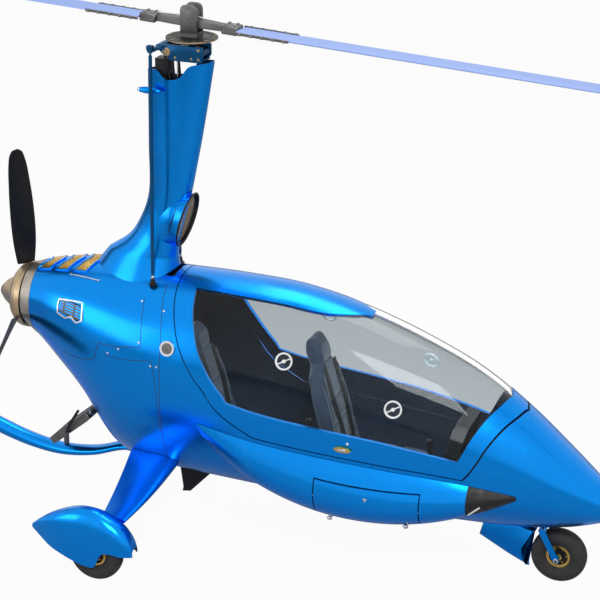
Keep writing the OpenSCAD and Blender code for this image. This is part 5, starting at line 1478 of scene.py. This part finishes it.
# ---- Materials for the CAD nodes, also those that are hidden ----
KEEP = {
    "steel": "canopy_arms canopy_hinges lid_hinges lid_arms_left lid_arms_right main_axles fuel_filler",
    "gold": "canopy_handle",
    "black": "mast_post instrument_panel belly_scoop",
    "cast": "engine",
    "lining": "cabin_floor",
    "cloth": "front_seat rear_seat",
    "bronze": "main_rim_left main_rim_right nose_rim spinner",
    "tyre": "main_tyre_left main_tyre_right nose_tyre",
    "blue": "nose_fork nose_fairing tail_pylon tail_fin rudder strobe_pods",
    "grey": "oil_cooler rotor_tower teeter_bar",
    "frame_blue": "rotor_head control_rods",
    "blade": "rotor_blade_fore rotor_blade_aft",
    "carbon": "prop_blades",
}
for key, names in KEEP.items():
    for name in names.split():
        ob = NODES[name]
        ob.data.materials.clear()
        ob.data.materials.append(FINISH[key][1])
        ob.data.shade_smooth()
        ob.data.set_sharp_from_angle(angle=math.radians(30))


# ---- Floor, light and world ----
# How much of the floor's look is its own white, and how bright the world is for the light that it gives
FLOOR_GLOW, WORLD_LIGHT = 0.955, 0.34


def build_stage():
    me = bpy.data.meshes.new("floor")
    r = 60.0
    me.from_pydata([(-r, -r, 0), (r, -r, 0), (r, r, 0), (-r, r, 0)], [], [(0, 1, 2, 3)])
    floor = bpy.data.objects.new("floor", me)
    floor.location.z = -0.001
    bpy.context.scene.collection.objects.link(floor)
    m = bpy.data.materials.new("pale_floor")
    m.use_nodes = True
    t = m.node_tree
    p = t.nodes["Principled BSDF"]
    p.inputs["Base Color"].default_value = (0.6, 0.6, 0.6, 1)
    p.inputs["Roughness"].default_value = 0.9
    glow, path, shader = (add_node(t, kind) for kind in ("Emission", "LightPath", "MixShader"))
    share = add_node(t, "Math", "MULTIPLY")
    share.inputs[1].default_value = FLOOR_GLOW
    join(t, (path.outputs["Is Camera Ray"], share.inputs[0]), (share.outputs[0], shader.inputs["Fac"]),
         (p.outputs["BSDF"], shader.inputs[1]), (glow.outputs["Emission"], shader.inputs[2]),
         (shader.outputs["Shader"], t.nodes["Material Output"].inputs["Surface"]))
    me.materials.append(m)
    floor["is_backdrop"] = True

    # White where it is seen directly, through glass or in gloss, and dimmer as a light
    world = bpy.data.worlds.new("world")
    bpy.context.scene.world = world
    world.use_nodes = True
    t = world.node_tree
    bg = t.nodes["Background"]
    bg.inputs["Color"].default_value = (1, 1, 1, 1)
    path, ramp = add_node(t, "LightPath"), add_node(t, "MapRange", To_Min=WORLD_LIGHT, To_Max=1.0)
    direct, seen = add_node(t, "Math", "MAXIMUM"), add_node(t, "Math", "MAXIMUM")
    join(t, (path.outputs["Is Camera Ray"], direct.inputs[0]),
         (path.outputs["Is Transmission Ray"], direct.inputs[1]),
         (direct.outputs[0], seen.inputs[0]), (path.outputs["Is Glossy Ray"], seen.inputs[1]),
         (seen.outputs[0], ramp.inputs["Value"]), (ramp.outputs["Result"], bg.inputs["Strength"]))

    def area(name, where, aim, size, power):
        d = bpy.data.lights.new(name, "AREA")
        d.shape, d.energy = "RECTANGLE", power
        d.size, d.size_y = size
        o = bpy.data.objects.new(name, d)
        o.location = where
        o.rotation_euler = (Vector(aim) - Vector(where)).to_track_quat("-Z", "Y").to_euler()
        bpy.context.scene.collection.objects.link(o)

    area("key", (3.5, -6.0, 7.5), (0.4, 0, 0.9), (3.5, 3.5), 430)
    area("fill", (-5.5, -6.0, 3.0), (0, 0, 1.0), (4.0, 3.0), 90)
    area("top", (0.5, 2.5, 8.0), (0.4, 0, 1.0), (5.0, 4.0), 200)


build_stage()
bpy.context.scene.view_settings.view_transform = "Standard"

as_lists = lambda pair: [[float(c) for c in v] for v in pair]
{"cad": as_lists(CAD_BOX), "visual": as_lists(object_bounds())}
